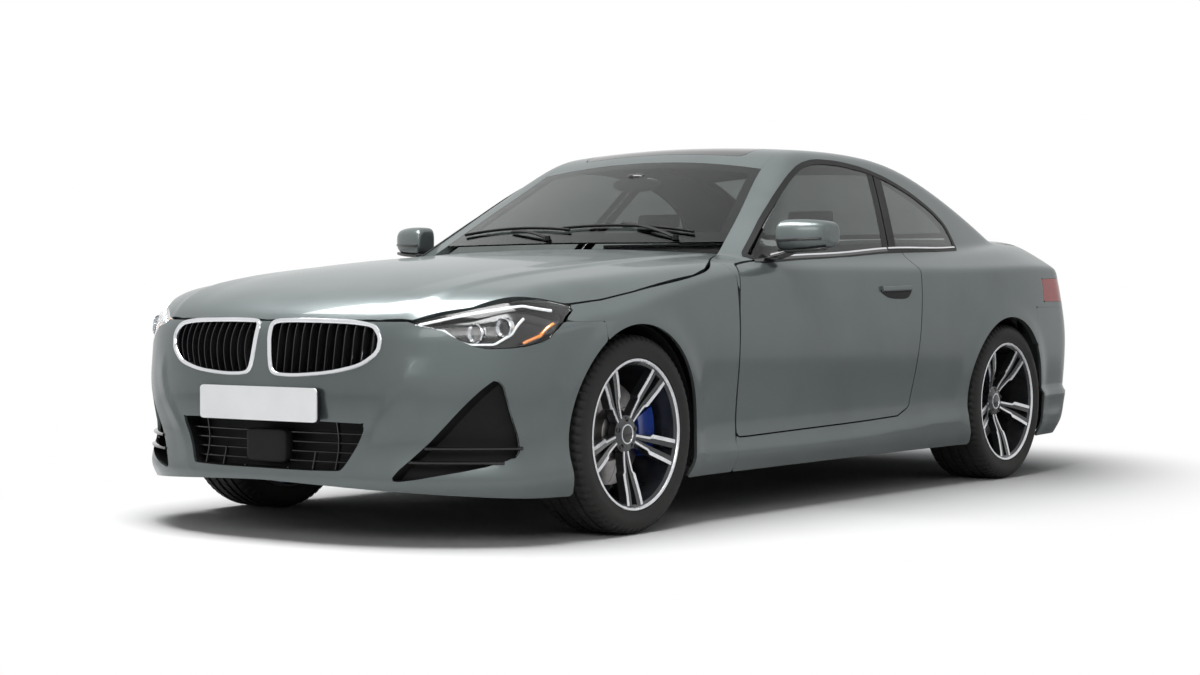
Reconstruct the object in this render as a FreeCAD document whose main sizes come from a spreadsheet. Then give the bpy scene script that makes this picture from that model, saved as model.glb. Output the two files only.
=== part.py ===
"""A two-door coupe car as an assembly of its real panels, glass, wheels, axles and cabin.

Frame: the car faces -Y, its left side is +X, +Z is up, and the origin lies on the ground at
mid length and mid width. Lengths along the car are first worked out as stations, measured
rearward from the front axle, and become Y by taking off the station at mid length.
The painted skin is one smooth form: side walls, shoulders, bonnet and deck, nose and tail, with
the greenhouse blended on top. Each panel is a patch of that form with its own thickness.
"""
import FreeCAD, Part
import Sketcher
import bisect
import math
import os

V = FreeCAD.Vector
doc = FreeCAD.newDocument("coupe")

# Driving dimensions in millimetres and degrees
SIZES = [
    ("wheelbase", 2741, "front axle to rear axle"),
    ("front_overhang", 845, "front axle to nose"),
    ("rear_overhang", 951, "rear axle to tail"),
    ("half_width", 919, "centre to the widest point of the rear flank"),
    ("roof_height", 1390, "ground to roof"),
    ("belt_height", 950, "ground to the side windows' lower edge at mid door"),
    ("shoulder_height", 882, "ground to the shoulder crease at the door"),
    ("bonnet_height", 914, "ground to the bonnet over the front axle"),
    ("deck_height", 1048, "ground to the boot lid's rear edge"),
    ("sill_height", 165, "ground to the lower edge of the body"),
    ("bumper_top", 708, "ground to the bumper's joint with the bonnet"),
    ("rear_bumper_top", 732.5, "ground to the rear bumper's joint with the boot lid"),
    ("shutline", 5.5, "gap round a moving panel"),
    ("joint_gap", 0.5, "gap between two fixed panels"),
    ("frame_wall", 28, "thickness of the side frame"),
    ("door_wall", 88, "thickness of the door"),
    ("roof_wall", 22, "thickness of the roof"),
    ("lid_wall", 20, "thickness of bonnet and boot lid"),
    ("sheet_wall", 4, "thickness of wing and bumper skin"),
    ("glass_wall", 5, "thickness of window glass"),
    ("tyre_radius", 331, "outer radius of the tyre"),
    ("tyre_width_front", 225, "section width of the front tyre"),
    ("tyre_width_rear", 255, "section width of the rear tyre"),
    ("rim_radius", 251, "radius of the rim's flange"),
    ("track_front_half", 787.5, "centre to the front wheel's mid plane"),
    ("track_rear_half", 785, "centre to the rear wheel's mid plane"),
    ("arch_radius_front", 366, "radius of the front arch opening"),
    ("arch_radius_rear", 362, "radius of the rear arch opening"),
    ("disc_radius", 172, "brake disc radius"),
    ("disc_width", 30, "brake disc width"),
    ("caliper_gap", 5.6, "caliper to brake disc"),
    ("spindle_radius", 20, "hub spindle radius"),
    ("running_gap", 0.05, "radial gap of a shaft in its bore"),
]
sheet = doc.addObject("Spreadsheet::Sheet", "Sizes")
for row, (name, value, note) in enumerate(SIZES, start=1):
    sheet.set(f"A{row}", name)
    sheet.set(f"B{row}", str(value))
    sheet.set(f"C{row}", note)
    sheet.setAlias(f"B{row}", name)
doc.recompute()


def size(name):
    return float(sheet.get(name))


WHEELBASE = size("wheelbase")
NOSE = -size("front_overhang")
TAIL = WHEELBASE + size("rear_overhang")
MIDDLE = (NOSE + TAIL) / 2
HALF = size("half_width")
ROOF = size("roof_height")
BELT = size("belt_height")
SHOULDER = size("shoulder_height")
BONNET = size("bonnet_height")
DECK = size("deck_height")
SILL = size("sill_height")
GAP = size("shutline")
JOINT = size("joint_gap")
AXLE_HEIGHT = size("tyre_radius")


def rear(distance):
    """Station of a point measured rearward from the rear axle."""
    return WHEELBASE + distance


class Curve:
    """Natural cubic spline through a few chosen stations."""

    def __init__(self, points):
        self.at = [float(p[0]) for p in points]
        self.value = [float(p[1]) for p in points]
        count = len(points)
        step = [self.at[i + 1] - self.at[i] for i in range(count - 1)]
        upper, right = [0.0] * count, [0.0] * count
        for i in range(1, count - 1):
            slope = (self.value[i + 1] - self.value[i]) / step[i]
            slope -= (self.value[i] - self.value[i - 1]) / step[i - 1]
            pivot = 2 * (step[i - 1] + step[i]) - step[i - 1] * upper[i - 1]
            upper[i] = step[i] / pivot
            right[i] = (6 * slope - step[i - 1] * right[i - 1]) / pivot
        self.bend = [0.0] * count
        for i in range(count - 2, 0, -1):
            self.bend[i] = right[i] - upper[i] * self.bend[i + 1]

    def __call__(self, t):
        t = min(max(t, self.at[0]), self.at[-1])
        i = min(max(bisect.bisect_right(self.at, t) - 1, 0), len(self.at) - 2)
        step = self.at[i + 1] - self.at[i]
        a = (self.at[i + 1] - t) / step
        b = 1 - a
        cubic = (a ** 3 - a) * self.bend[i] + (b ** 3 - b) * self.bend[i + 1]
        return a * self.value[i] + b * self.value[i + 1] + cubic * step * step / 6


def soft_min(a, b, width):
    """The smaller of two fields, rounded over a band of the given width."""
    near = max(width - abs(a - b), 0.0) / width
    return min(a, b) - near ** 3 * width / 6


# Plan view: half width of the side wall at each station
flank = Curve([(NOSE, HALF - 51), (-450, HALF - 26), (-150, HALF - 16), (150, HALF - 16), (500, HALF - 26),
               (1000, HALF - 29), (1500, HALF - 27), (rear(-641), HALF - 17), (rear(-241), HALF - 5),
               (rear(0), HALF), (rear(259), HALF - 5), (rear(559), HALF - 29), (TAIL, HALF - 69)])
# Section: how far the side wall stands inside that half width at each height
tuck = Curve([(SILL - 65, 70), (SILL - 5, 38), (SILL + 50, 14), (SILL + 105, 16), (SILL + 165, 20),
              (SHOULDER - 452, 15), (SHOULDER - 322, 3), (SHOULDER - 242, 0), (SHOULDER - 142, 3),
              (SHOULDER - 52, 11), (SHOULDER + 18, 24), (SHOULDER + 118, 50)])
shoulder = Curve([(NOSE, SHOULDER - 242), (-600, SHOULDER - 210), (-265, SHOULDER - 154), (0, SHOULDER - 107),
                  (300, SHOULDER - 57), (548, SHOULDER - 29), (780, SHOULDER - 14), (1430, SHOULDER),
                  (rear(-641), SHOULDER + 8), (rear(-121), SHOULDER + 23), (rear(259), SHOULDER + 30),
                  (rear(509), SHOULDER + 20), (rear(709), SHOULDER + 3), (TAIL, SHOULDER - 22)])
shoulder_slope = Curve([(NOSE, 1.0), (-300, 0.95), (300, 0.85), (900, 0.72), (1500, 0.72), (rear(-541), 0.62),
                        (rear(-41), 0.55), (rear(459), 0.5), (TAIL, 0.45)])
# Side view: centre line of bonnet and boot deck
deck_line = Curve([(NOSE, BONNET - 184), (NOSE + 55, BONNET - 149), (NOSE + 145, BONNET - 117),
                   (-500, BONNET - 66), (-200, BONNET - 19), (0, BONNET), (300, BONNET + 24),
                   (700, BONNET + 46), (1000, BONNET + 56), (2000, DECK - 58), (rear(159), DECK - 26),
                   (rear(509), DECK - 8), (rear(709), DECK - 2), (TAIL - 92, DECK + 2), (TAIL, DECK + 2)])
deck_crown = Curve([(NOSE, 50), (-400, 62), (0, 62), (500, 50), (900, 40), (rear(-41), 30), (TAIL, 42)])
# Side view: how far nose and tail stand inside the overall length at each height
nose_set = Curve([(100, 60), (160, 25), (200, 4), (260, 12), (330, 22), (400, 10), (470, 0), (560, 4),
                  (640, 12), (700, 24), (745, 50), (800, 100), (900, 200)])
tail_set = Curve([(100, 150), (170, 90), (230, 45), (330, 12), (420, 0), (520, 0), (620, 10), (700, 30),
                  (800, 62), (900, 85), (1000, 78), (1060, 75), (1100, 80)])
# Greenhouse: half width at the belt and height of the roof
glass_base = Curve([(500, HALF - 97), (800, HALF - 107), (1400, HALF - 117), (2000, HALF - 133),
                    (rear(-141), HALF - 177), (rear(259), HALF - 229), (rear(559), HALF - 289),
                    (rear(859), HALF - 359)])
roof_line = Curve([(1000, ROOF - 40), (1300, ROOF - 18), (1600, ROOF - 4), (1850, ROOF), (2100, ROOF - 6),
                   (rear(-341), ROOF - 30), (rear(-41), ROOF - 72), (rear(259), ROOF - 130)])

NOSE_WIDTH = HALF - 49
TAIL_WIDTH = HALF - 59
TUMBLEHOME = 0.56
WINDSCREEN_SLOPE = 0.565
WINDSCREEN_BASE = 735
BACKLIGHT_SLOPE = 0.43
BACKLIGHT_BASE = rear(494)


def nose_station(x, z):
    t = abs(x) / NOSE_WIDTH
    return NOSE + nose_set(z) + 330 * t ** 3 + 15 * t * t


def tail_station(x, z):
    t = abs(x) / TAIL_WIDTH
    return TAIL - tail_set(z) - 215 * t ** 3.2 - 20 * t * t


def arch_flare(station, z):
    """The swage round each wheel opening."""
    out = 0.0
    for axle, height, radius in ((0, 11, size_arch_front), (WHEELBASE, 9, size_arch_rear)):
        away = (math.hypot(station - axle, z - AXLE_HEIGHT) - radius) / 55
        out += height * math.exp(-away * away)
    return out


size_arch_front = size("arch_radius_front")
size_arch_rear = size("arch_radius_rear")


def lower_body(x, station, z):
    x = abs(x)
    side = flank(station) - tuck(z) + arch_flare(station, z) - x
    ramp = shoulder(station) + shoulder_slope(station) * (HALF - 39 - x) - z
    top = deck_line(station) - deck_crown(station) * (x / (HALF - 119)) ** 2.2 - z
    field = soft_min(side, ramp * 0.8, 50)
    field = soft_min(field, top, 45)
    field = soft_min(field, (station - nose_station(x, z)) * 0.9, 130)
    return soft_min(field, (tail_station(x, z) - station) * 0.9, 110)


def greenhouse(x, station, z):
    x = abs(x)
    above = z - BELT
    side = glass_base(station) - TUMBLEHOME * above - 0.00012 * (above - 170) ** 2 + 3 - x
    screen = (BELT + 15 + WINDSCREEN_SLOPE * (station - WINDSCREEN_BASE - 130 * (x / 700) ** 2) - z) * 0.87
    top = roof_line(station) - 30 * (x / 600) ** 2 - z
    back = (DECK + BACKLIGHT_SLOPE * (BACKLIGHT_BASE - station - 95 * (x / 600) ** 2) - z) * 0.92
    field = soft_min(soft_min(screen, top, 90), back, 140)
    field = soft_min(side * 0.87, field, 60)
    return soft_min(field, z - (BELT - 80), 20)


def body_field(x, station, z):
    """Positive inside the car's outer form, zero on its skin."""
    x = abs(x)
    return -soft_min(-lower_body(x, station, z), -greenhouse(x, station, z), 30)


def reach(start, way, field=body_field):
    """The point where a ray from inside the car leaves its skin."""
    inside, outside = 0.0, 1500.0
    for _ in range(22):
        middle = (inside + outside) / 2
        if field(*(start[i] + way[i] * middle for i in range(3))) > 0:
            inside = middle
        else:
            outside = middle
    return tuple(start[i] + way[i] * (inside + outside) / 2 for i in range(3))


def side_point(station, z):
    return reach((0, station, z), (1, 0, 0))


def top_point(x, station, start=600):
    return reach((x, station, start), (0, 0, 1))


def section_point(station, angle, height=600):
    """Skin point at an angle above the horizontal, seen along the car's axis."""
    return reach((0, station, height), (math.cos(angle), 0, math.sin(angle)))


def plan_point(centre, angle, z, way):
    """Skin point seen from above at an angle from the car's axis, towards nose (-1) or tail (1)."""
    return reach((0, centre, z), (math.sin(angle), way * math.cos(angle), 0))


def inward(point, depth):
    """The point moved inside along the skin's normal."""
    small = 0.5
    slope = []
    for i in range(3):
        low, high = list(point), list(point)
        low[i] -= small
        high[i] += small
        slope.append(body_field(*high) - body_field(*low))
    length = math.sqrt(sum(c * c for c in slope))
    return tuple(point[i] + slope[i] / length * depth for i in range(3))


def place(point):
    """A point given by its station, in the car's own frame."""
    return V(point[0], point[1] - MIDDLE, point[2])


def spread(low, high, count):
    return [low + (high - low) * i / (count - 1) for i in range(count)]


def mix(low, high, share):
    return low + (high - low) * share


def thick_patch(us, vs, locate, depth, straight=None, towards=None):
    """A solid between a patch of the skin and the same patch moved inside.

    It moves along the normals, straight along one direction, or towards a centre given for each point.
    """
    outer_grid, inner_grid = [], []
    for u in us:
        outer_row, inner_row = [], []
        for v in vs:
            point = locate(u, v)
            if towards:
                centre = towards(u)
                share = depth / math.dist(point, centre)
                deep = tuple(mix(point[i], centre[i], share) for i in range(3))
            elif straight:
                deep = tuple(point[i] + straight[i] * depth for i in range(3))
            else:
                deep = inward(point, depth)
            outer_row.append(place(point))
            inner_row.append(place(deep))
        outer_grid.append(outer_row)
        inner_grid.append(inner_row)
    outer, inner = Part.BSplineSurface(), Part.BSplineSurface()
    outer.interpolate(outer_grid)
    inner.interpolate(inner_grid)
    first_u, last_u, first_v, last_v = outer.bounds()
    low_u, high_u, low_v, high_v = inner.bounds()
    faces = [outer.toShape(), inner.toShape()]
    for a, b in ((first_u, low_u), (last_u, high_u)):
        faces.append(Part.makeRuledSurface(outer.uIso(a).toShape(), inner.uIso(b).toShape()))
    for a, b in ((first_v, low_v), (last_v, high_v)):
        faces.append(Part.makeRuledSurface(outer.vIso(a).toShape(), inner.vIso(b).toShape()))
    shell = Part.makeShell(faces)
    shell.sewShape(0.01)
    if shell.ShapeType != "Shell":
        shell = shell.Shells[0]
    solid = Part.makeSolid(shell)
    if solid.Volume < 0:
        solid.reverse()
    return solid


def outline(points, smooth=False):
    """A closed wire through points, straight or as one smooth loop."""
    if smooth:
        curve = Part.BSplineCurve()
        curve.interpolate(points, PeriodicFlag=True)
        return Part.Wire([curve.toShape()])
    return Part.makePolygon(points + [points[0]])


def side_prism(points, low_x, high_x, smooth=False):
    """Outline in the side view, given as (station, height), carried across the car."""
    wire = outline([V(low_x, s - MIDDLE, z) for s, z in points], smooth)
    return Part.Face(wire).extrude(V(high_x - low_x, 0, 0))


def end_prism(points, low_station, high_station, smooth=False):
    """Outline in the front view, given as (x, height), carried along the car."""
    wire = outline([V(x, low_station - MIDDLE, z) for x, z in points], smooth)
    return Part.Face(wire).extrude(V(0, high_station - low_station, 0))


def top_prism(points, low_z, high_z):
    """Outline in the plan view, given as (x, station), carried upward."""
    wire = outline([V(x, s - MIDDLE, low_z) for x, s in points])
    return Part.Face(wire).extrude(V(0, 0, high_z - low_z))


def block(low, high):
    """A box between two corners given as (x, station, height)."""
    corner = place(low)
    return Part.makeBox(high[0] - low[0], high[1] - low[1], high[2] - low[2], corner)


def tube(centre, axis, length, radius, bore=0):
    """A cylinder, or a tube where it has a bore, from a centre point along an axis."""
    solid = Part.makeCylinder(radius, length, place(centre), V(*axis))
    if bore:
        solid = solid.cut(Part.makeCylinder(bore, length + 2, place(centre) - V(*axis).normalize(), V(*axis)))
    return solid


def grown(points, distance):
    """A closed outline of plain pairs moved outward, each corner along its bisector."""
    count = len(points)
    area = sum(points[i - 1][0] * points[i][1] - points[i][0] * points[i - 1][1] for i in range(count))
    turn = math.copysign(1, area)
    moved = []
    for i, (a, b) in enumerate(points):
        normals = []
        for (p, q), (r, s) in ((points[i - 1], (a, b)), ((a, b), points[(i + 1) % count])):
            length = math.hypot(r - p, s - q)
            normals.append((turn * (s - q) / length, turn * (p - r) / length))
        (u, v), (w, t) = normals
        share = distance / (1 + u * w + v * t)
        moved.append((a + (u + w) * share, b + (v + t) * share))
    return moved


def mirrored(shape):
    return shape.mirror(V(0, 0, 0), V(1, 0, 0))


pieces = {}


def keep(label, shape):
    """Adds a piece to the document under its own label."""
    solids = shape.Solids
    item = doc.addObject("Part::Feature", label)
    item.Label = label
    item.Shape = solids[0] if len(solids) == 1 else Part.makeCompound(solids)
    pieces[label] = item
    return item.Shape


def keep_pair(label, shape):
    """The left piece and its mirror image on the right, as two nodes."""
    keep(label + "_left", shape)
    keep(label + "_right", mirrored(shape))


def keep_both(label, *shapes):
    """Left pieces and their mirror images on the right, in one node."""
    keep(label, Part.makeCompound(list(shapes) + [mirrored(shape) for shape in shapes]))


def largest(shape):
    return max(shape.Solids, key=lambda solid: solid.Volume)


class Length:
    """A length that remembers how it is worked out from the sheet."""

    def __init__(self, value, text=None):
        self.value = float(value)
        self.text = text or f"{float(value):.6g}"

    def join(self, other, sign, value):
        other = as_length(other)
        return Length(value(self.value, other.value), f"({self.text} {sign} {other.text})")

    def __add__(self, other):
        return self.join(other, "+", lambda a, b: a + b)

    def __sub__(self, other):
        return self.join(other, "-", lambda a, b: a - b)

    def __mul__(self, other):
        return self.join(other, "*", lambda a, b: a * b)

    def __truediv__(self, other):
        return self.join(other, "/", lambda a, b: a / b)

    def __neg__(self):
        return as_length(0) - self


def as_length(value):
    return value if isinstance(value, Length) else Length(value)


def cell(name):
    return Length(size(name), "Sizes." + name)


MIDDLE_CELL = (cell("wheelbase") + cell("rear_overhang") - cell("front_overhang")) / 2


def new_body(label, x=0, station=0, z=0):
    """A body whose own origin stands at a lateral place, a station and a height."""
    body = doc.addObject("PartDesign::Body", label)
    body.Label = label
    for axis, value in (("x", as_length(x)), ("y", as_length(station) - MIDDLE_CELL), ("z", as_length(z))):
        body.setExpression("Placement.Base." + axis, value.text)
    pieces[label] = body
    return body


def origin_plane(body, role):
    return next(item for item in body.Origin.OriginFeatures if item.Role == role)


def drawn(body, name, role, corners, offset=0):
    """A sketch of a closed outline whose corners are held by lengths from the sheet."""
    sketch = body.newObject("Sketcher::SketchObject", body.Name + name)
    sketch.AttachmentSupport = [(origin_plane(body, role), "")]
    sketch.MapMode = "FlatFace"
    sketch.setExpression("AttachmentOffset.Base.z", as_length(offset).text)
    corners = [(as_length(a), as_length(b)) for a, b in corners]
    count = len(corners)
    for i in range(count):
        (a, b), (c, d) = corners[i], corners[(i + 1) % count]
        sketch.addGeometry(Part.LineSegment(V(a.value, b.value, 0), V(c.value, d.value, 0)), False)
    for i in range(count):
        sketch.addConstraint(Sketcher.Constraint("Coincident", i, 2, (i + 1) % count, 1))
    for i, (a, b) in enumerate(corners):
        for way, length in (("DistanceX", a), ("DistanceY", b)):
            held = sketch.addConstraint(Sketcher.Constraint(way, -1, 1, i, 1, length.value))
            sketch.setExpression(f"Constraints[{held}]", length.text)
    return sketch


def pad(body, name, role, corners, low, high):
    """Pads a closed outline between two distances from its plane."""
    low, high = as_length(low), as_length(high)
    feature = body.newObject("PartDesign::Pad", body.Name + name)
    feature.Profile = drawn(body, name + "Profile", role, corners, low)
    feature.setExpression("Length", (high - low).text)
    return feature


def turned(body, name, corners):
    """Turns a closed outline, given as (along the axle, radius), about the body's X axis."""
    sketch = drawn(body, name + "Profile", "XY_Plane", corners)
    feature = body.newObject("PartDesign::Revolution", body.Name + name)
    feature.Profile = sketch
    feature.ReferenceAxis = (sketch, ["H_Axis"])
    feature.Angle = 360
    return feature


def rounded(body, name, radius, wanted):
    """Rounds the edges of the body that a test picks out."""
    doc.recompute()
    base = body.Tip
    names = [f"Edge{i + 1}" for i, edge in enumerate(base.Shape.Edges) if wanted(edge)]
    feature = body.newObject("PartDesign::Fillet", body.Name + name)
    feature.Base = (base, names)
    feature.Radius = radius
    return feature


# Lines that the panels share, as stations and heights
WING_REAR = 655
FRONT_CENTRE = 300
REAR_CENTRE = rear(-241)
DOOR = [(WING_REAR - 12, 296), (WING_REAR + 5, SILL + 124), (1000, SILL + 130), (1500, SILL + 138),
        (1895, SILL + 150), (1938, 460), (1962, 600), (1985, 760), (1999, 860), (2022, 955), (2031, 973),
        (1907, 968), (1500, BELT - 6), (1100, BELT - 22), (830, BELT - 38), (WING_REAR + 14, 893),
        (WING_REAR - 10, 760), (WING_REAR - 14, 620), (WING_REAR - 12, 450)]
WINDOW = [(812, BELT - 36), (1100, BELT - 19), (1500, BELT - 3), (1907, BELT + 21), (rear(-241), BELT + 32),
          (rear(-141), BELT + 36), (rear(-128), 1020), (rear(-132), 1085), (rear(-200), 1142),
          (rear(-332), 1208), (rear(-500), 1262), (rear(-680), 1298), (1850, 1316), (1650, 1315),
          (1510, 1289), (1380, 1238), (1240, 1168), (1080, 1078), (940, 992)]
PILLAR_LOW = 1907
CORNER_START = rear(730)
BOOT_HALF = 590
PILLAR_HIGH = 2105


HOOD_LIP = [(0, NOSE + 39), (200, NOSE + 48), (340, NOSE + 60), (442, NOSE + 84), (548, NOSE + 125),
            (682, NOSE + 241), (785, NOSE + 415), (832, NOSE + 527), (848, NOSE + 700), (853, NOSE + 880)]
HOOD_SIDE = [(853, 35), (850, 400), (830, 500), (786, 590), (745, 660), (705, 740), (672, 820), (655, 846)]


# Plan view: the bonnet's side edge on the wing, and the roof joint on the side frame
wing_edge = Curve([(-330, 831), (-141, 846), (124, 853), (445, 846), (540, 820), (600, 782),
                   (WING_REAR, 745)])
frame_edge = Curve([(WING_REAR + 6, 752), (740, 712), (820, 680), (862, 668), (1100, 602), (1375, 522),
                    (1550, 503), (2000, 500), (rear(-341), 495), (rear(59), 520), (rear(359), 562), (rear(509), 596),
                    (rear(760), 606)])


def bonnet_prism(margin):
    """Everything over the plan of the bonnet's shut line, moved out by a margin."""
    rear_edge = [(x, WINDSCREEN_BASE + 3 + 130 * (x / 700) ** 2) for x in (640, 560, 460, 340, 200, 70)]
    half = HOOD_LIP[1:] + HOOD_SIDE[1:] + rear_edge
    plan = [HOOD_LIP[0]] + half + [(-x, s) for x, s in reversed(half)]
    return top_prism(grown(plan, margin), 500, 1200)


def bonnet_slab(margin, depth):
    """A thick patch of bonnet skin, trimmed in plan to the shut line moved out by a margin."""
    front = Curve([(0, NOSE + 22), (300, NOSE + 40), (500, NOSE + 84), (560, NOSE + 116), (650, NOSE + 186),
                   (760, NOSE + 325), (866, NOSE + 515)])

    def locate(x, v):
        return reach((x, mix(front(abs(x)), 862, v), 500), (0, 0, 1), lower_body)

    slab = thick_patch(spread(-866, 866, 33), spread(0, 1, 20), locate, depth)
    return slab.common(bonnet_prism(margin))


def bonnet():
    keep("bonnet", largest(bonnet_slab(0, size("lid_wall"))))


def wing():
    """Front wing: from bumper and headlamp back to the door, cut by the wheel opening."""
    edge = GAP + 1

    def locate(s, v):
        low = side_point(s, SILL)
        top = top_point(wing_edge(s) + edge, s, 500)
        low_angle = math.atan2(SILL - 600, low[0])
        high_angle = math.atan2(top[2] - 600, top[0])
        return section_point(s, mix(low_angle, high_angle, v))

    solid = thick_patch(spread(-312, WING_REAR - 21, 26), spread(0, 1, 24), locate, size("sheet_wall"))
    solid = solid.cut(tube((500, 0, AXLE_HEIGHT), (1, 0, 0), 600, size_arch_front))
    solid = solid.cut(block((500, -400, 0), (1100, -190, size("bumper_top"))))
    solid = solid.cut(block((500, -400, 0), (1100, 0, size("bumper_top") - 60)))
    keep_both("wings", largest(solid.cut(bonnet_prism(GAP))))


LAMP = [(548, 700), (556, 708), (682, 745), (785, 776), (812, 780), (850, 752), (884, 698), (874, 648),
        (826, 628), (735, 624), (658, 668), (629, 686)]
KIDNEY = [(42, 560), (52, 698), (150, 704), (340, 702), (425, 692), (456, 660), (452, 614), (398, 572),
          (291, 548), (152, 538), (62, 538)]
LOWER_INTAKE = [(-400, 392), (-404, 372), (-382, 330), (-335, 246), (-320, 234), (320, 234), (335, 246),
                (382, 330), (404, 372), (400, 392)]
CORNER_INTAKE = [(490, 214), (632, 366), (768, 526), (782, 524), (796, 500), (818, 306), (808, 280),
                 (736, 250), (526, 206)]
TAIL_LAMP = [(597, 860), (880, 860), (960, 840), (960, 762), (800, 752), (597, 752)]


def front_bumper():
    top = size("bumper_top")
    reach_angle = math.radians(72)
    solid = thick_patch(spread(-reach_angle, reach_angle, 61), spread(SILL - 3, top, 20),
                        lambda a, z: plan_point(FRONT_CENTRE, a, z, -1), size("sheet_wall"))
    for sign in (-1, 1):
        solid = solid.cut(end_prism([(sign * x, z) for x, z in grown(LAMP, 1.5)], NOSE - 60, -300))
        solid = solid.cut(end_prism([(sign * x, z) for x, z in KIDNEY], NOSE - 60, -500))
        solid = solid.cut(end_prism([(sign * x, z) for x, z in CORNER_INTAKE], NOSE - 60, -300))
        solid = solid.cut(tube((sign * 500, 0, AXLE_HEIGHT), (sign, 0, 0), 600, size_arch_front))
        solid = solid.cut(block((min(sign * 500, sign * 1100), -191, 0),
                                (max(sign * 500, sign * 1100), 300, 1000)))
    solid = solid.cut(end_prism(LOWER_INTAKE, NOSE - 60, -500))
    keep("front_bumper", largest(solid.cut(bonnet_prism(GAP))))


def nose_slab(depth, low, high, angle=70, columns=61, rows=14):
    """A thick patch of the nose's skin between two heights."""
    return thick_patch(spread(math.radians(-angle), math.radians(angle), columns), spread(low, high, rows),
                       lambda a, z: plan_point(FRONT_CENTRE, a, z, -1), depth)


def grille(slab, line, openings):
    """What is left of a slab inside an outline once the openings between its blades are cut."""
    ahead, behind = NOSE - 60, -300
    frame = slab.common(end_prism(grown(line, -JOINT), ahead, behind))
    holes = end_prism(grown(line, -GRILLE_FRAME), ahead, behind)
    for hole in holes.common(Part.makeCompound(openings)).Solids:
        frame = frame.cut(hole)
    return largest(frame)


GRILLE_FRAME = 12
SLAT_PITCH = 33
SLAT_WIDTH = 8


def front_grilles():
    """Twin grilles with upright slats, and the lower grille with level bars."""
    ahead, behind = NOSE - 60, -300
    upper = nose_slab(24, 525, 712, 34, 31)
    first = 54
    gaps = [end_prism([(x + SLAT_WIDTH / 2, 500), (x + SLAT_PITCH - SLAT_WIDTH / 2, 500),
                       (x + SLAT_PITCH - SLAT_WIDTH / 2, 730), (x + SLAT_WIDTH / 2, 730)], ahead, behind)
            for x in [first + SLAT_PITCH * k for k in range(-1, 13)]]
    kidney = largest(grille(upper, KIDNEY, gaps).cut(bonnet_prism(GAP)))
    lower = nose_slab(24, 225, 400, 34, 31)
    cells = [end_prism([(left, z), (right, z), (right, z + 22), (left, z + 22)], ahead, behind)
             for left, right in ((-410, -295), (-287, -205), (-197, -100), (100, 197), (205, 287), (295, 410))
             for z in (238, 268, 298, 328, 358)]
    keep("grilles", Part.makeCompound([kidney, mirrored(kidney), grille(lower, LOWER_INTAKE, cells)]))


def intake_inserts():
    """Pans that close the corner intakes behind the bumper's skin."""
    ahead, behind = NOSE - 60, -300
    slab = nose_slab(44, 195, 545, 70, 61)
    pan = slab.common(end_prism(grown(CORNER_INTAKE, -JOINT), ahead, behind))
    pan = largest(pan)
    pocket = slab.copy()
    pocket.translate(V(0, -6, 0))
    pan = pan.cut(pocket.common(end_prism(grown(CORNER_INTAKE, -5), ahead, behind)))
    keep_both("intake_inserts", largest(pan))


def headlamp():
    depth = 60
    solid = thick_patch(spread(math.radians(25), math.radians(62), 20), spread(615, 790, 12),
                        lambda a, z: plan_point(FRONT_CENTRE, a, z, -1), depth)
    solid = solid.common(end_prism(LAMP, NOSE - 60, -318)).cut(bonnet_prism(GAP))
    keep_both("headlamps", largest(solid))


def rear_bumper():
    reach_angle = math.radians(62)
    top = size("rear_bumper_top")
    solid = thick_patch(spread(-reach_angle, reach_angle, 51), spread(SILL - 3, top, 20),
                        lambda a, z: plan_point(REAR_CENTRE, a, z, 1), size("sheet_wall"))
    for sign in (-1, 1):
        low, high = sorted((sign * 500, sign * 1100))
        solid = solid.cut(tube((sign * 500, WHEELBASE, AXLE_HEIGHT), (sign, 0, 0), 600, size_arch_rear))
        solid = solid.cut(block((low, rear(-100), 0), (high, rear(282), 1000)))
    keep("rear_bumper", largest(solid))


def tail_lamp():
    solid = thick_patch(spread(math.radians(14), math.radians(58), 20), spread(742, 870, 8),
                        lambda a, z: plan_point(REAR_CENTRE, a, z, 1), 45)
    solid = solid.common(end_prism(TAIL_LAMP, rear(340), TAIL + 60))
    keep_both("tail_lamps", largest(solid))


def boot_lid():
    centre_station, centre_height = rear(520), 780

    def locate(x, angle):
        return reach((x, centre_station, centre_height), (0, math.cos(angle), math.sin(angle)))

    angles = [math.radians(a) for a in (91, 85, 78, 70, 62, 54, 47, 41, 36, 31, 26, 20, 13, 6, -1, -6)]
    solid = thick_patch(spread(-BOOT_HALF, BOOT_HALF, 17), angles, locate, size("lid_wall"),
                        towards=lambda x: (x, centre_station, centre_height))
    keep("boot_lid", solid)


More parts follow.
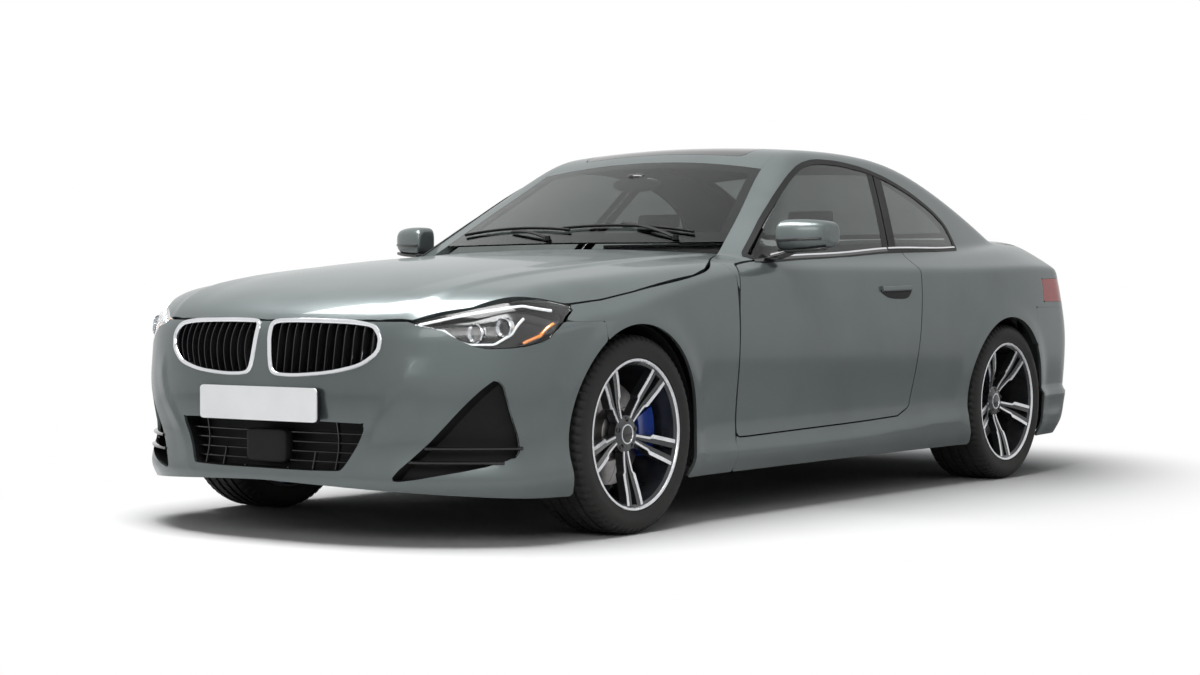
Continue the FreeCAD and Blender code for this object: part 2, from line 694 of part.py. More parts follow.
def side_frame():
    """Side frame: sill and quarter panel below the belt, pillars and roof rail above it."""
    stations = (spread(WING_REAR - 20, 2310, 26) + spread(2335, 2485, 7) + spread(2530, 2960, 10)
                + spread(2990, 3140, 7) + spread(3180, 3380, 6) + spread(3400, CORNER_START, 6))
    seam = JOINT / 900

    def angles(s):
        """Angles of the sill, the belt and the roof's joint, seen from the middle of the section."""
        low = side_point(s, SILL)
        top = top_point(frame_edge(s), s)
        base = max(glass_base(s) + 3, frame_edge(s) + 45)
        belt = shoulder(s) + shoulder_slope(s) * (HALF - 39 - base)
        return (math.atan2(SILL - 600, low[0]), math.atan2(belt - 600, base),
                math.atan2(top[2] - 600, top[0]))

    def lower(s, v):
        low, belt, top = angles(s)
        return section_point(s, mix(low, belt, v))

    def upper(s, v):
        low, belt, top = angles(s)
        return section_point(s, mix(belt + seam, top, v))

    lamp_room = end_prism(grown(TAIL_LAMP, JOINT), rear(330), TAIL + 60)
    bonnet_room = bonnet_slab(GAP + 0.5, size("lid_wall") + GAP + 1)
    lid_room = block((0, rear(450), 700), (BOOT_HALF + GAP, TAIL + 60, 1200))
    roof_stations = spread(770, rear(430), 60)
    roof_plan = [(frame_edge(s) + 0.2, s) for s in roof_stations] + [(300, rear(430)), (300, 770)]
    rooms = [top_prism(roof_plan, 900, 1500), side_prism(grown(DOOR, GAP + 0.5), 300, 1100),
             side_prism(WINDOW, 300, 1100),
             tube((500, WHEELBASE, AXLE_HEIGHT), (1, 0, 0), 600, size_arch_rear),
             block((500, rear(282 - JOINT), 0), (1100, TAIL, size("rear_bumper_top") + JOINT)), lamp_room,
             bonnet_room, lid_room]
    pieces = []
    for locate, rows in ((lower, 28), (upper, 12)):
        solid = thick_patch(stations, spread(0, 1, rows), locate, size("frame_wall"),
                            towards=lambda s: (0, s, 600))
        for room in rooms:
            solid = solid.cut(room)
        pieces += [piece for piece in solid.Solids if piece.Volume > 20000]
    keep_both("side_frames", *pieces, tail_corner().cut(lamp_room).Solids[0])


def tail_corner():
    """Quarter panel's end, round the corner of the tail beside the boot lid."""
    centre = (0, rear(350), 700)

    def locate(around, up):
        way = (math.cos(up) * math.sin(around), math.cos(up) * math.cos(around), math.sin(up))
        return reach(centre, way)

    slab = thick_patch(spread(math.radians(22), math.radians(82), 24),
                       spread(math.radians(1), math.radians(52), 20), locate, size("frame_wall"),
                       towards=lambda around: centre)
    room = block((BOOT_HALF + GAP, CORNER_START + JOINT, 738 + JOINT), (1100, TAIL + 60, 1200))
    return largest(slab.common(room))


def door():
    """Door with its outer skin whole and its inner part set back round the shut edges."""
    top = Curve([(WING_REAR - 30, 915), (760, 940), (1100, BELT), (1500, BELT + 18), (2050, BELT + 38)])
    skin = 30

    def locate(s, v):
        return side_point(s, mix(SILL + 110, top(s), v))

    stations = spread(WING_REAR - 30, 2050, 24)
    outer = thick_patch(stations, spread(0, 1, 20), locate, skin, straight=(-1, 0, 0))
    inner = thick_patch(stations, spread(0, 1, 20), locate, size("door_wall"), straight=(-1, 0, 0))
    outer = outer.common(side_prism(DOOR, 300, 1100))
    inner = inner.common(side_prism(grown(DOOR, -12), 300, 1100))
    solid = outer.fuse(inner).removeSplitter()
    keep_pair("door", largest(solid))


def side_glasses():
    """Door glass and quarter glass, parted by a gap that leans rearward."""
    depth = size("glass_wall")
    top = Curve([(780, 925), (812, 936), (940, 1008), (1080, 1094), (1240, 1196), (1380, 1262), (1510, 1304),
                 (1650, 1327), (1850, 1329), (rear(-680), 1312), (rear(-500), 1278), (rear(-332), 1226),
                 (rear(-200), 1164), (rear(-120), 1110)])

    def locate(s, v):
        return reach((0, s, mix(BELT - 45, top(s), v)), (1, 0, 0), greenhouse)

    pane = thick_patch(spread(800, rear(-122), 46), spread(0, 1, 12), locate, depth)
    inset = grown(WINDOW, -GAP)
    seat = 0.3
    lean = (PILLAR_HIGH - PILLAR_LOW) / 316
    moving = [(824, BELT - 38.4 + seat), (1100, BELT - 22 + seat), (1500, BELT - 6 + seat),
              (PILLAR_LOW - 3, BELT + 18 + seat), (PILLAR_LOW - 3 + 316 * lean, BELT + 18 + 316)] + inset[11:]
    keep_pair("door_glass", largest(pane.common(side_prism(moving, 300, 1100))))
    inset = grown(WINDOW, -JOINT)
    fixed = [(PILLAR_LOW + 7, BELT + 24)] + inset[4:11] + [(PILLAR_LOW + 5 + 314 * lean, BELT + 335)]
    keep_both("quarter_glasses", largest(pane.common(side_prism(fixed, 300, 1100))))


def windscreen():
    def locate(u, v):
        s = mix(775 + 112 * u * u, 1362, v)
        return top_point(u * (frame_edge(s) - JOINT), s)

    keep("windscreen", thick_patch(spread(-1, 1, 25), spread(0, 1, 14), locate, size("glass_wall")))


SUNROOF = [(-390, 1440), (390, 1440), (390, 1800), (-390, 1800)]


def roof_panel():
    """Roof skin with the opening for its glass panel."""
    def locate(u, v):
        s = mix(1362 + JOINT, rear(-246), v)
        return top_point(u * (frame_edge(s) - JOINT), s)

    slab = thick_patch(spread(-1, 1, 21), spread(0, 1, 24), locate, size("roof_wall"))
    keep("roof_panel", slab.cut(top_prism(grown(SUNROOF, JOINT), 1000, 1500)))
    keep("sunroof", slab.common(top_prism(SUNROOF, 1000, 1500)))


def rear_window():
    def locate(u, v):
        s = mix(rear(-246) + JOINT, rear(487) - 88 * u * u, v)
        return top_point(u * (frame_edge(s) - JOINT), s)

    keep("rear_window", thick_patch(spread(-1, 1, 25), spread(0, 1, 16), locate, size("glass_wall")))


def turned_wheel_parts(corner, x, station, width):
    """Tyre, rim and disc of one wheel; outboard is +X until the right side is turned about."""
    half = (width - 9) / 2
    bead = size("rim_radius") - 11
    radius = size("tyre_radius")
    tyre_half = width / 2
    tyre = new_body("tyre_" + corner, x, station, AXLE_HEIGHT)
    section = [(half - 12.5, bead + 0.3), (tyre_half, bead + 45), (tyre_half - 12, radius - 10),
               (tyre_half - 40, radius)]
    turned(tyre, "Ring", section + [(-a, b) for a, b in reversed(section)])
    return tyre


def rim_shape(width):
    """Barrel, hub and five pairs of spokes, centred on the wheel with outboard towards +X."""
    half = (width - 9) / 2
    flange = size("rim_radius")
    outer = [(-half, flange), (-half + 8, flange), (-half + 12, flange - 11), (-half + 45, flange - 12),
             (-half + 60, flange - 18), (half - 50, flange - 18), (half - 38, flange - 11),
             (half - 12, flange - 11), (half - 8, flange), (half, flange)]
    inner = [(half, flange - 6), (half - 14, flange - 19), (half - 40, flange - 20),
             (-half + 50, flange - 25), (-half + 14, flange - 18), (-half, flange - 6)]
    barrel = Part.Face(Part.makePolygon([V(a, b, 0) for a, b in outer + inner + outer[:1]]))
    barrel = barrel.revolve(V(0, 0, 0), V(1, 0, 0), 360)
    hub_profile = [(25, 0), (25, 82), (52, 82), (66, 70), (66, 34), (52, 34), (52, 0)]
    hub = Part.Face(Part.makePolygon([V(a, b, 0) for a, b in hub_profile + hub_profile[:1]]))
    hub = hub.revolve(V(0, 0, 0), V(1, 0, 0), 360)
    shape = barrel.fuse(hub)
    face = half - 10
    for turn in range(5):
        for side in (-1, 1):
            stations = [(56, 24, 62, 34, 13), (140, 20, 72, 30, 28), (flange - 25, 26, face, 34, 46)]
            wires = []
            for radius, breadth, front, depth, aside in stations:
                low, high = side * aside - breadth / 2, side * aside + breadth / 2
                corners = [V(front - depth, low, radius), V(front - depth, high, radius),
                           V(front, high - 4, radius), V(front, low + 4, radius)]
                wires.append(Part.makePolygon(corners + corners[:1]))
            spoke = Part.makeLoft(wires, True, True)
            spoke.rotate(V(0, 0, 0), V(1, 0, 0), 36 + 72 * turn)
            shape = shape.fuse(spoke)
    bore = size("spindle_radius") + size("running_gap")
    return shape.cut(Part.makeCylinder(bore, 300, V(-150, 0, 0), V(1, 0, 0)))


def disc_shape():
    """Brake disc and its hat, on the inboard side of the hub."""
    radius, thick = size("disc_radius"), size("disc_width")
    bore = size("spindle_radius") + size("running_gap")
    profile = [(-5 - thick, 92), (-5 - thick, radius), (-5, radius), (-5, 88), (24.7, 80), (24.7, bore),
               (16, bore), (16, 72), (-5 - thick, 78)]
    ring = Part.Face(Part.makePolygon([V(a, b, 0) for a, b in profile + profile[:1]]))
    return ring.revolve(V(0, 0, 0), V(1, 0, 0), 360)


def caliper_shape(centre_angle):
    """Caliper over the disc's edge, its middle at an angle from upright towards the tail."""
    radius, thick, gap = size("disc_radius"), size("disc_width"), size("caliper_gap")
    profile = [(-76, 112), (-76, radius + 42), (-60, radius + 46), (18, radius + 46), (31, radius + 36),
               (31, 118), (gap - 5, 118), (gap - 5, radius + gap), (-5 - thick - gap, radius + gap),
               (-5 - thick - gap, 112)]
    spread_angle = 48
    face = Part.Face(Part.makePolygon([V(a, 0, b) for a, b in profile + profile[:1]]))
    body = face.revolve(V(0, 0, 0), V(1, 0, 0), spread_angle)
    body.rotate(V(0, 0, 0), V(1, 0, 0), -centre_angle - spread_angle / 2)
    return body


def set_wheel(shape, side, x, station):
    """Puts a wheel part at its axle; the right one is turned about so its face looks outboard."""
    part = shape.copy()
    if side < 0:
        part.rotate(V(0, 0, 0), V(0, 0, 1), 180)
    part.translate(V(side * x, station - MIDDLE, AXLE_HEIGHT))
    return part


def wheels():
    for axle, station, x, width in (("front", 0, size("track_front_half"), size("tyre_width_front")),
                                    ("rear", WHEELBASE, size("track_rear_half"), size("tyre_width_rear"))):
        rim, disc = rim_shape(width), disc_shape()
        for name, side in (("left", 1), ("right", -1)):
            turned_wheel_parts(f"{axle}_{name}", side * x, station, width)
            keep(f"rim_{axle}_{name}", set_wheel(rim, side, x, station))
            keep(f"disc_{axle}_{name}", set_wheel(disc, side, x, station))


def knuckle_shape():
    """Upright with its bearing boss, spindle and the lug that holds the caliper."""
    web = Part.makeBox(28, 90, 274.4, V(-116, -45, -135.4))
    boss = Part.makeCylinder(46, 46, V(-90, 0, 0), V(1, 0, 0))
    spindle = Part.makeCylinder(size("spindle_radius"), 90, V(-60, 0, 0), V(1, 0, 0))
    lug = Part.makeBox(26, 100, 80, V(-102, 40, -40))
    return web.fuse(boss).fuse(spindle).fuse(lug)


def axles():
    """Front and rear subframes with arms, springs and uprights."""
    front_x, rear_x = size("track_front_half"), size("track_rear_half")
    knuckle = knuckle_shape()
    caliper = caliper_shape(90)
    for name, side in (("left", 1), ("right", -1)):
        placed = knuckle.copy()
        clamp = caliper.copy()
        if side < 0:
            placed, clamp = mirrored(placed), mirrored(clamp)
        placed.translate(V(side * front_x, -MIDDLE, AXLE_HEIGHT))
        clamp.translate(V(side * front_x, -MIDDLE, AXLE_HEIGHT))
        keep("knuckle_" + name, placed.cut(clamp))
        keep("caliper_front_" + name, clamp)
    low, high = AXLE_HEIGHT - 166, AXLE_HEIGHT - 135.7
    frame = block((-300, -80, 150), (300, 80, 230))
    for side in (-1, 1):
        a, b = sorted((side * 290, side * (front_x - 104)))
        frame = frame.fuse(block((a, -30, low), (b, 30, high)))
        a, b = sorted((side * 470.3, side * (front_x - 104)))
        frame = frame.fuse(block((a, -22, AXLE_HEIGHT + 139.3), (b, 22, AXLE_HEIGHT + 165)))
        frame = frame.fuse(tube((side * 545, 0, high - 5), (0, 0, 1), 450, 22))
        frame = frame.fuse(tube((side * 545, 0, 400), (0, 0, 1), 240, 52))
    keep("front_axle", frame)
    back = block((-320, rear(-90), 180), (320, rear(90), 250)).fuse(
        block((-120, rear(-130), 190), (120, rear(14), 400)))
    calipers = []
    for side in (-1, 1):
        a, b = sorted((side * 300, side * (rear_x - 92)))
        back = back.fuse(block((a, rear(-60), 185), (b, rear(60), 215)))
        a, b = sorted((side * 100, side * (rear_x - 60)))
        back = back.fuse(tube((a, WHEELBASE, AXLE_HEIGHT), (1, 0, 0), b - a, 18))
        back = back.fuse(tube((side * 572, rear(30), 200), (0, 0, 1), 440, 20))
        back = back.fuse(tube((side * 572, rear(30), 400), (0, 0, 1), 200, 46))
        upright = knuckle_shape()
        upright.rotate(V(0, 0, 0), V(1, 0, 0), 180)
        clamp = caliper_shape(-90)
        if side < 0:
            upright, clamp = mirrored(upright), mirrored(clamp)
        for item in (upright, clamp):
            item.translate(V(side * rear_x, WHEELBASE - MIDDLE, AXLE_HEIGHT))
        back = back.fuse(upright.cut(clamp))
        calipers.append(clamp)
    keep("rear_axle", back)
    keep("calipers_rear", Part.makeCompound(calipers))


def structure():
    """Rails, wheel house walls and towers ahead of the cabin, and the crash beam."""
    rail_in, rail_out = 405, 470
    shape = block((-470, -745, 430), (470, -700, 530))
    for side in (-1, 1):
        a, b = sorted((side * rail_in, side * rail_out))
        shape = shape.fuse(block((a, -700, 400), (b, 640, 490)))
        wall = tube((side * (rail_out - 8), 0, AXLE_HEIGHT), (side, 0, 0), 8, size_arch_front + 3)
        wall = wall.common(block((-600, -400, 480), (600, 400, 720)))
        shape = shape.fuse(wall)
        a, b = sorted((side * (rail_out - 4), side * 600))
        shape = shape.fuse(block((a, -70, 640.3), (b, 70, 655)))
    keep("front_structure", shape)
    houses = []
    for side in (-1, 1):
        x = 470.3
        ring = tube((side * x, 0, AXLE_HEIGHT), (side, 0, 0), 868 - x, size_arch_front + 3, size_arch_front)
        ring = ring.cut(block((-1000, -420, -50), (1000, 420, 210)))
        houses.append(largest(ring))
    for side in (-1, 1):
        ring = tube((side * 500, WHEELBASE, AXLE_HEIGHT), (side, 0, 0), 366,
                    size_arch_rear + 3, size_arch_rear)
        ring = ring.cut(block((-1000, rear(-420), -50), (1000, rear(420), 210)))
        wall = tube((side * 500, WHEELBASE, AXLE_HEIGHT), (side, 0, 0), 6, size_arch_rear + 3)
        wall = wall.common(block((-600, rear(-400), 450), (600, rear(400), 720)))
        a, b = sorted((side * 500, side * 620))
        top = block((a, rear(-30), 640.3), (b, rear(90), 652))
        houses.append(largest(ring.fuse(wall).fuse(top)))
    keep("wheel_housings", Part.makeCompound(houses))


def sill_inside(s):
    """How far out the cabin's floor reaches at a station."""
    return inward(side_point(s, SILL), size("frame_wall"))[0]


def cabin():
    floor_low, floor_high = SILL + 8, SILL + 25
    stations = [655, 1000, 1400, 1800, 2100, 2330]
    right = [(sill_inside(s) - 4, s) for s in stations]
    plan = right + [(-x, s) for x, s in reversed(right)]
    floor = top_prism(plan, floor_low, floor_high)
    tunnel = end_prism([(-132, floor_low), (-98, 400), (98, 400), (132, floor_low)], 655, 2225)
    hollow = end_prism([(-120, floor_low - 5), (-88, 388), (88, 388), (120, floor_low - 5)], 600, 2400)
    keep("floor_pan", floor.fuse(tunnel).cut(hollow))
    wall = new_body("firewall")
    outline_wall = [(-779, 200), (779, 200), (764, 860), (-764, 860)]
    pad(wall, "Plate", "XZ_Plane", outline_wall, -654.7, -640.3)
    for name, side in (("Left", 1), ("Right", -1)):
        near, far = sorted((side * 694, side * 758))
        pad(wall, name + "Post", "XY_Plane", [(near, 654), (far, 654), (far, 740), (near, 740)],
            floor_high + 0.3, 860)
    dash = new_body("dashboard")
    profile = [(655, 640), (655, 850), (780, 885), (900, 915), (1100, 935), (1140, 900), (1110, 760),
               (1000, 640)]
    pad(dash, "Pad", "YZ_Plane", profile, -680, 680)
    console = new_body("centre_console")
    profile = [(1000, 400.3), (1000, 639), (1112, 639), (1200, 560), (1900, 540), (1950, 400.3)]
    pad(console, "Pad", "YZ_Plane", profile, -92, 92)
    profile = [(1290, floor_high + 0.3), (1270, 330), (1290, 420), (1400, 440), (1720, 390), (1800, 560),
               (1900, 900), (1935, 1060), (1960, 1130), (2020, 1120), (2010, 1040), (1990, 900),
               (1930, 600), (1880, 400), (1800, 300), (1780, floor_high + 0.3)]
    keep_both("front_seats", side_prism(profile, 145, 615))
    bench = new_body("rear_bench")
    profile = [(2250, floor_high + 0.3), (2230, 400), (2260, 430), (2560, 410), (2640, 700), (2690, 930),
               (2740, 940), (2759.7, 900), (2759.7, 430), (2600, 410), (2560, 300), (2329, floor_high + 0.3)]
    pad(bench, "Pad", "YZ_Plane", profile, -490, 490)
    rear_wall = new_body("boot_tub")
    pad(rear_wall, "Plate", "XZ_Plane", [(-499, 300), (499, 300), (499, 930), (-499, 930)], -2772, -2760)
    pad(rear_wall, "Shelf", "XZ_Plane", [(-560, 930), (560, 930), (560, 942), (-560, 942)], -3150, -2760)
    pad(rear_wall, "Floor", "XZ_Plane", [(-499, 425), (499, 425), (499, 437), (-499, 437)], -3560, -2770)
    pad(rear_wall, "Panel", "XZ_Plane", [(-560, 300), (560, 300), (560, 720), (-560, 720)], -3572, -3560)
    motor = new_body("engine")
    pad(motor, "Block", "YZ_Plane", [(-180, 230.3), (440, 230.3), (440, 760), (-180, 760)], -200, 200)
    cooler = new_body("radiator")
    pad(cooler, "Core", "XZ_Plane", [(-404.7, 250), (404.7, 250), (404.7, 680), (-404.7, 680)], 640, 680)
    wheel = new_body("steering_wheel", 365, 1235, 830)
    turned(wheel, "Rim", [(-14, 172), (-8, 184), (8, 184), (14, 172), (8, 160), (-8, 160)])
    turned(wheel, "Hub", [(-102.4, 0), (-102.4, 34), (-30, 38), (-30, 60), (14, 60), (14, 0)])
    pad(wheel, "Spokes", "YZ_Plane", [(-165, -24), (165, -24), (165, 22), (-165, 22)], -8, 6)
    wheel.Placement.Rotation = FreeCAD.Rotation(V(0, 0, 1), 90)


def mirrors():
    housing = block((846, 925, 946), (1034, 1035, 1060))
    housing = housing.makeFillet(34, housing.Edges)
    foot = side_prism([(900, 885), (985, 885), (995, 985), (940, 975)], 831.5, 880)
    foot = foot.cut(pieces["door_left"].Shape)
    keep_pair("mirror", largest(housing.fuse(foot)))


STEPS = (bonnet, wing, front_bumper, front_grilles, intake_inserts, headlamp, rear_bumper, tail_lamp, boot_lid,
         side_frame, door, side_glasses, windscreen, roof_panel, rear_window, wheels, axles, structure, cabin,
         mirrors)


def main():
    """Builds every piece, checks it and writes it."""
    for step in STEPS:
        step()
    doc.recompute()
    for item in doc.Objects:
        if "Invalid" in item.State or "Error" in item.State:
            raise RuntimeError(f"{item.Label} did not recompute: {item.State}")
    os.makedirs("parts", exist_ok=True)
    for label, item in pieces.items():
        shape = item.Shape
        if shape.isNull() or not shape.isValid() or not shape.Solids:
            raise RuntimeError(f"{label} is not a valid solid")
        shape.exportStep(f"parts/{label}.step")


main()
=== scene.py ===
"""Two-door coupe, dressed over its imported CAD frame.

Body panels are cut from one outer form: a field that is positive inside the car and zero on its
skin. Distances in the form are millimetres: across from the middle, station behind the front
axle, and height above the ground.
"""

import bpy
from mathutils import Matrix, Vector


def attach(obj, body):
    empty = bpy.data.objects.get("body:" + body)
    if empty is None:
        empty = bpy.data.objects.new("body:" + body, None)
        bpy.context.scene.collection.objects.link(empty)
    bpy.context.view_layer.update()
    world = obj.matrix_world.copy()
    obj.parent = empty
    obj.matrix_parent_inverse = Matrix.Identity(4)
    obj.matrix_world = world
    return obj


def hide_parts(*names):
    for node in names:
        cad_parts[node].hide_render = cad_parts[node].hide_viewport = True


bl_info = {
    "name": "Coupe Car",
    "version": (1, 0, 0),
    "blender": (4, 5, 0),
    "location": "3D View > Sidebar > Coupe",
    "description": "Body, glass, lamps, wheels and cabin of a two-door coupe",
    "category": "Object",
}

import math

import bpy
import numpy as np

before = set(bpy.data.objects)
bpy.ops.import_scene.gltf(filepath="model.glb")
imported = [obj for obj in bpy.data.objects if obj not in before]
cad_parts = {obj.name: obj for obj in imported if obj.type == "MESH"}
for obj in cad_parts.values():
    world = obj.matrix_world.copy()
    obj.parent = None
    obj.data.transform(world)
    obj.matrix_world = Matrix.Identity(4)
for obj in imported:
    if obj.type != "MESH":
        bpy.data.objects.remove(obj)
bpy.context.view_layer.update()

# The car's layout
WHEELBASE = 2741.0
NOSE = -845.0
TAIL = WHEELBASE + 951.0
MIDDLE = (NOSE + TAIL) / 2
AXLE = 331.0
ARCH = (366.0, 362.0)
BELT = 950.0

# Gaps between panels, and the edges where panels meet
SHUT = 5.5
JOINT = 0.5
LAMP_GAP = 1.5
SILL = 165.0
BUMPER_TOP = 708.0
BUMPER_STEP = 648.0
BUMPER_END = -190.0
BUMPER_MIDDLE = 500.0
REAR_BUMPER_TOP = 732.5
REAR_BUMPER_START = 3023.0
TAIL_LAMP_START = 3112.0
BONNET_END = 862.0
BOOT_HALF = 590.0
BOOT_START = 3256.0
BOOT_SIDE_START = 3191.0
BOOT_FOOT = 741.0
SCREEN_TOP = 1362.0
ROOF_END = 2495.0

# Depth of the door's trim under its skin
TRIM_DEPTH = 29.0

# Each axle's wheels: station, distance from the middle and tyre width; then the rims' own measures
WHEELS = {"front": (0, 787.5, 225), "rear": (WHEELBASE, 785, 255)}
RIM_INSET = 9.0
SPOKE_PAIRS = 5
SPOKE_TURN = 72.0

# Heights inside the form that rays start from, and the station where the side rays turn rearwards
CORE = 600.0
LOW_CORE = 500.0
FAN_TURN = 3200.0
OUT, UP = (1.0, 0.0, 0.0), (0.0, 0.0, 1.0)
AHEAD, BACK = (0.0, -1.0, 0.0), (0.0, 1.0, 0.0)

# Meshes, finishes and the studio's floor
MODEL_MM = 1000.0
SHARP_ANGLE = 35.0
DUST_COLOR = (0.23, 0.21, 0.19, 1.0)
WHITE = (1.0, 1.0, 1.0, 1.0)
# The floor's grey patch round the car is a painted shadow. These set the ellipse's scale, its fade to white,
# and its share of distance in reflections, where the patch reaches further and paints shade on the lower
# body.
SHADOW_PATCH_SCALE = (0.62, 0.38, 0.0)
SHADOW_PATCH_FADE = (0.85, 1.35)
SHADOW_PATCH_MIRRORED_SHARE = 0.4


def spline(*knots):
    """Natural cubic curve through its knots, held level beyond them."""
    x, y = np.array(knots, float).T
    step = np.diff(x)
    system = np.eye(len(x))
    bend = np.zeros(len(x))
    inner = np.arange(1, len(x) - 1)
    system[inner, inner - 1] = step[:-1]
    system[inner, inner] = 2 * (step[:-1] + step[1:])
    system[inner, inner + 1] = step[1:]
    bend[1:-1] = 6 * np.diff(np.diff(y) / step)
    curve = np.linalg.solve(system, bend)

    def value(at):
        """Height of the curve at each place."""
        at = np.clip(at, x[0], x[-1])
        k = np.clip(np.searchsorted(x, at) - 1, 0, len(x) - 2)
        width = x[k + 1] - x[k]
        a = (x[k + 1] - at) / width
        b = 1 - a
        return (a * y[k] + b * y[k + 1]
                + ((a ** 3 - a) * curve[k] + (b ** 3 - b) * curve[k + 1]) * width * width / 6)

    return value


flank = spline((-845, 868), (-450, 893), (-150, 903), (150, 903), (500, 893), (1000, 890), (1500, 892),
               (2100, 902), (2500, 914), (2741, 919), (3000, 914), (3300, 890), (3692, 850))
tuck = spline((100, 70), (160, 38), (215, 14), (270, 16), (330, 20), (430, 15), (560, 3), (640, 0),
              (740, 3), (830, 11), (900, 24), (1000, 50))
shoulder = spline((-845, 640), (-600, 672), (-265, 728), (0, 775), (300, 825), (548, 853), (780, 868),
                  (1430, 882), (2100, 890), (2620, 905), (3000, 912), (3250, 902), (3450, 885), (3692, 860))
shoulder_slope = spline((-845, 1.0), (-300, .95), (300, .85), (900, .72), (1500, .72), (2200, .62),
                        (2700, .55), (3200, .5), (3692, .45))
deck = spline((-845, 730), (-790, 765), (-700, 797), (-500, 848), (-200, 895), (0, 914), (300, 938),
              (700, 960), (1000, 970), (2000, 990), (2900, 1022), (3250, 1040), (3450, 1046), (3600, 1050),
              (3692, 1050))
crown = spline((-845, 50), (-400, 62), (0, 62), (500, 50), (900, 40), (2700, 30), (3692, 42))
nose_set = spline((100, 60), (160, 25), (200, 4), (260, 12), (330, 22), (400, 10), (470, 0), (560, 4),
                  (640, 12), (700, 24), (745, 50), (800, 100), (900, 200))
tail_set = spline((100, 150), (170, 90), (230, 45), (330, 12), (420, 0), (520, 0), (620, 10), (700, 30),
                  (800, 62), (900, 85), (1000, 78), (1060, 75), (1100, 80))
glass_base = spline((500, 822), (800, 812), (1400, 802), (2000, 786), (2600, 742), (3000, 690), (3300, 630),
                    (3600, 560))
roof_line = spline((1000, 1350), (1300, 1372), (1600, 1386), (1850, 1390), (2100, 1384), (2400, 1360),
                   (2700, 1318), (3000, 1260))
wing_edge = spline((-330, 831), (-141, 846), (124, 853), (445, 846), (540, 820), (600, 782), (655, 745))
frame_edge = spline((661, 752), (740, 712), (820, 680), (862, 668), (1100, 602), (1375, 522), (1550, 503),
                    (2000, 500), (2400, 495), (2800, 520), (3100, 562), (3250, 596), (3501, 606))


def soft_min(a, b, width):
    """The lesser of two values, with a round of the given width where they meet."""
    near = np.maximum(width - np.abs(a - b), 0) / width
    return np.minimum(a, b) - near ** 3 * width / 6


def lower_body(x, s, z):
    """Body below the windows: side wall, shoulder, deck, nose and tail, softly joined."""
    t = np.abs(x)
    flare = sum(h * np.exp(-((np.hypot(s - c, z - AXLE) - r) / 55) ** 2)
                for c, h, r in ((0, 11, ARCH[0]), (WHEELBASE, 9, ARCH[1])))
    side = flank(s) - tuck(z) + flare - t
    ramp = shoulder(s) + shoulder_slope(s) * (880 - t) - z
    top = deck(s) - crown(s) * (t / 800) ** 2.2 - z
    front = s - NOSE - nose_set(z) - 330 * (t / 870) ** 3 - 15 * (t / 870) ** 2
    back = TAIL - tail_set(z) - 215 * (t / 860) ** 3.2 - 20 * (t / 860) ** 2 - s
    middle = soft_min(soft_min(side, ramp * 0.8, 20), top, 45)
    return soft_min(soft_min(middle, front * 0.9, 130), back * 0.9, 110)


def greenhouse(x, s, z):
    """Cabin above the belt: side glass, windscreen, roof and rear window, softly joined."""
    t = np.abs(x)
    side = glass_base(s) - 0.56 * (z - BELT) - 0.00012 * (z - 1120) ** 2 + 3 - t
    screen = 965 + 0.565 * (s - 735 - 130 * (t / 700) ** 2) - z
    roof = roof_line(s) - 30 * (t / 600) ** 2 - z
    back = 1048 + 0.43 * (3235 - s - 95 * (t / 600) ** 2) - z
    cap = soft_min(soft_min(screen * 0.87, roof, 90), back * 0.92, 140)
    return soft_min(soft_min(side * 0.87, cap, 60), z - 870, 20)


def body(x, s, z):
    """The whole outer form."""
    return -soft_min(-lower_body(x, s, z), -greenhouse(x, s, z), 30)


def cast(start, way, field=body, far=1800.0):
    """Where rays from inside the form leave it, by halving the interval forty times."""
    start, way = np.broadcast_arrays(np.stack(np.broadcast_arrays(*start), -1).astype(float),
                                     np.stack(np.broadcast_arrays(*way), -1).astype(float))
    low = np.zeros(start.shape[:-1])
    high = np.full(start.shape[:-1], far)
    for _ in range(40):
        mid = (low + high) / 2
        p = start + way * mid[..., None]
        within = field(p[..., 0], p[..., 1], p[..., 2]) > 0
        low = np.where(within, mid, low)
        high = np.where(within, high, mid)
    return start + way * low[..., None]


def side_skin(s, z, field=body):
    """Left side of the form at each station and height."""
    return cast((s * 0, s, z), OUT, field)


def top_skin(x, s, field=body, start=CORE):
    """Top of the form above each place of the plan."""
    return cast((x, s, x * 0 + start), UP, field)


def section_skin(s, angle):
    """Left side of the form at each station, at an angle above level."""
    return cast((s * 0, s, s * 0 + CORE), (np.cos(angle), angle * 0, np.sin(angle)))


def plan_skin(centre, angle, z, way):
    """Skin ahead of or behind a station, at an angle from straight along the car."""
    return cast((z * 0, z * 0 + centre, z), (np.sin(angle), way * np.cos(angle), z * 0))


def nose_fan(angle, z):
    """Skin of the nose, round to the front wheels."""
    return plan_skin(300, angle, z, -1)


def tail_fan(angle, z):
    """Skin of the tail, round to the rear wheels."""
    return plan_skin(2500, angle, z, 1)


def slope(p, field=body):
    """Outward unit normal of the form at each point."""
    h = 0.5
    x, s, z = p[..., 0], p[..., 1], p[..., 2]
    g = -np.stack([field(x + h, s, z) - field(x - h, s, z), field(x, s + h, z) - field(x, s - h, z),
                   field(x, s, z + h) - field(x, s, z - h)], -1)
    return g / np.linalg.norm(g, axis=-1, keepdims=True)


def rounded(points, times=2):
    """A closed outline with its corners cut at a fifth of each side, as often as asked."""
    p = np.array(points, float)
    for _ in range(times):
        q = np.roll(p, -1, 0)
        p = np.stack([0.8 * p + 0.2 * q, 0.2 * p + 0.8 * q], 1).reshape(-1, 2)
    return p


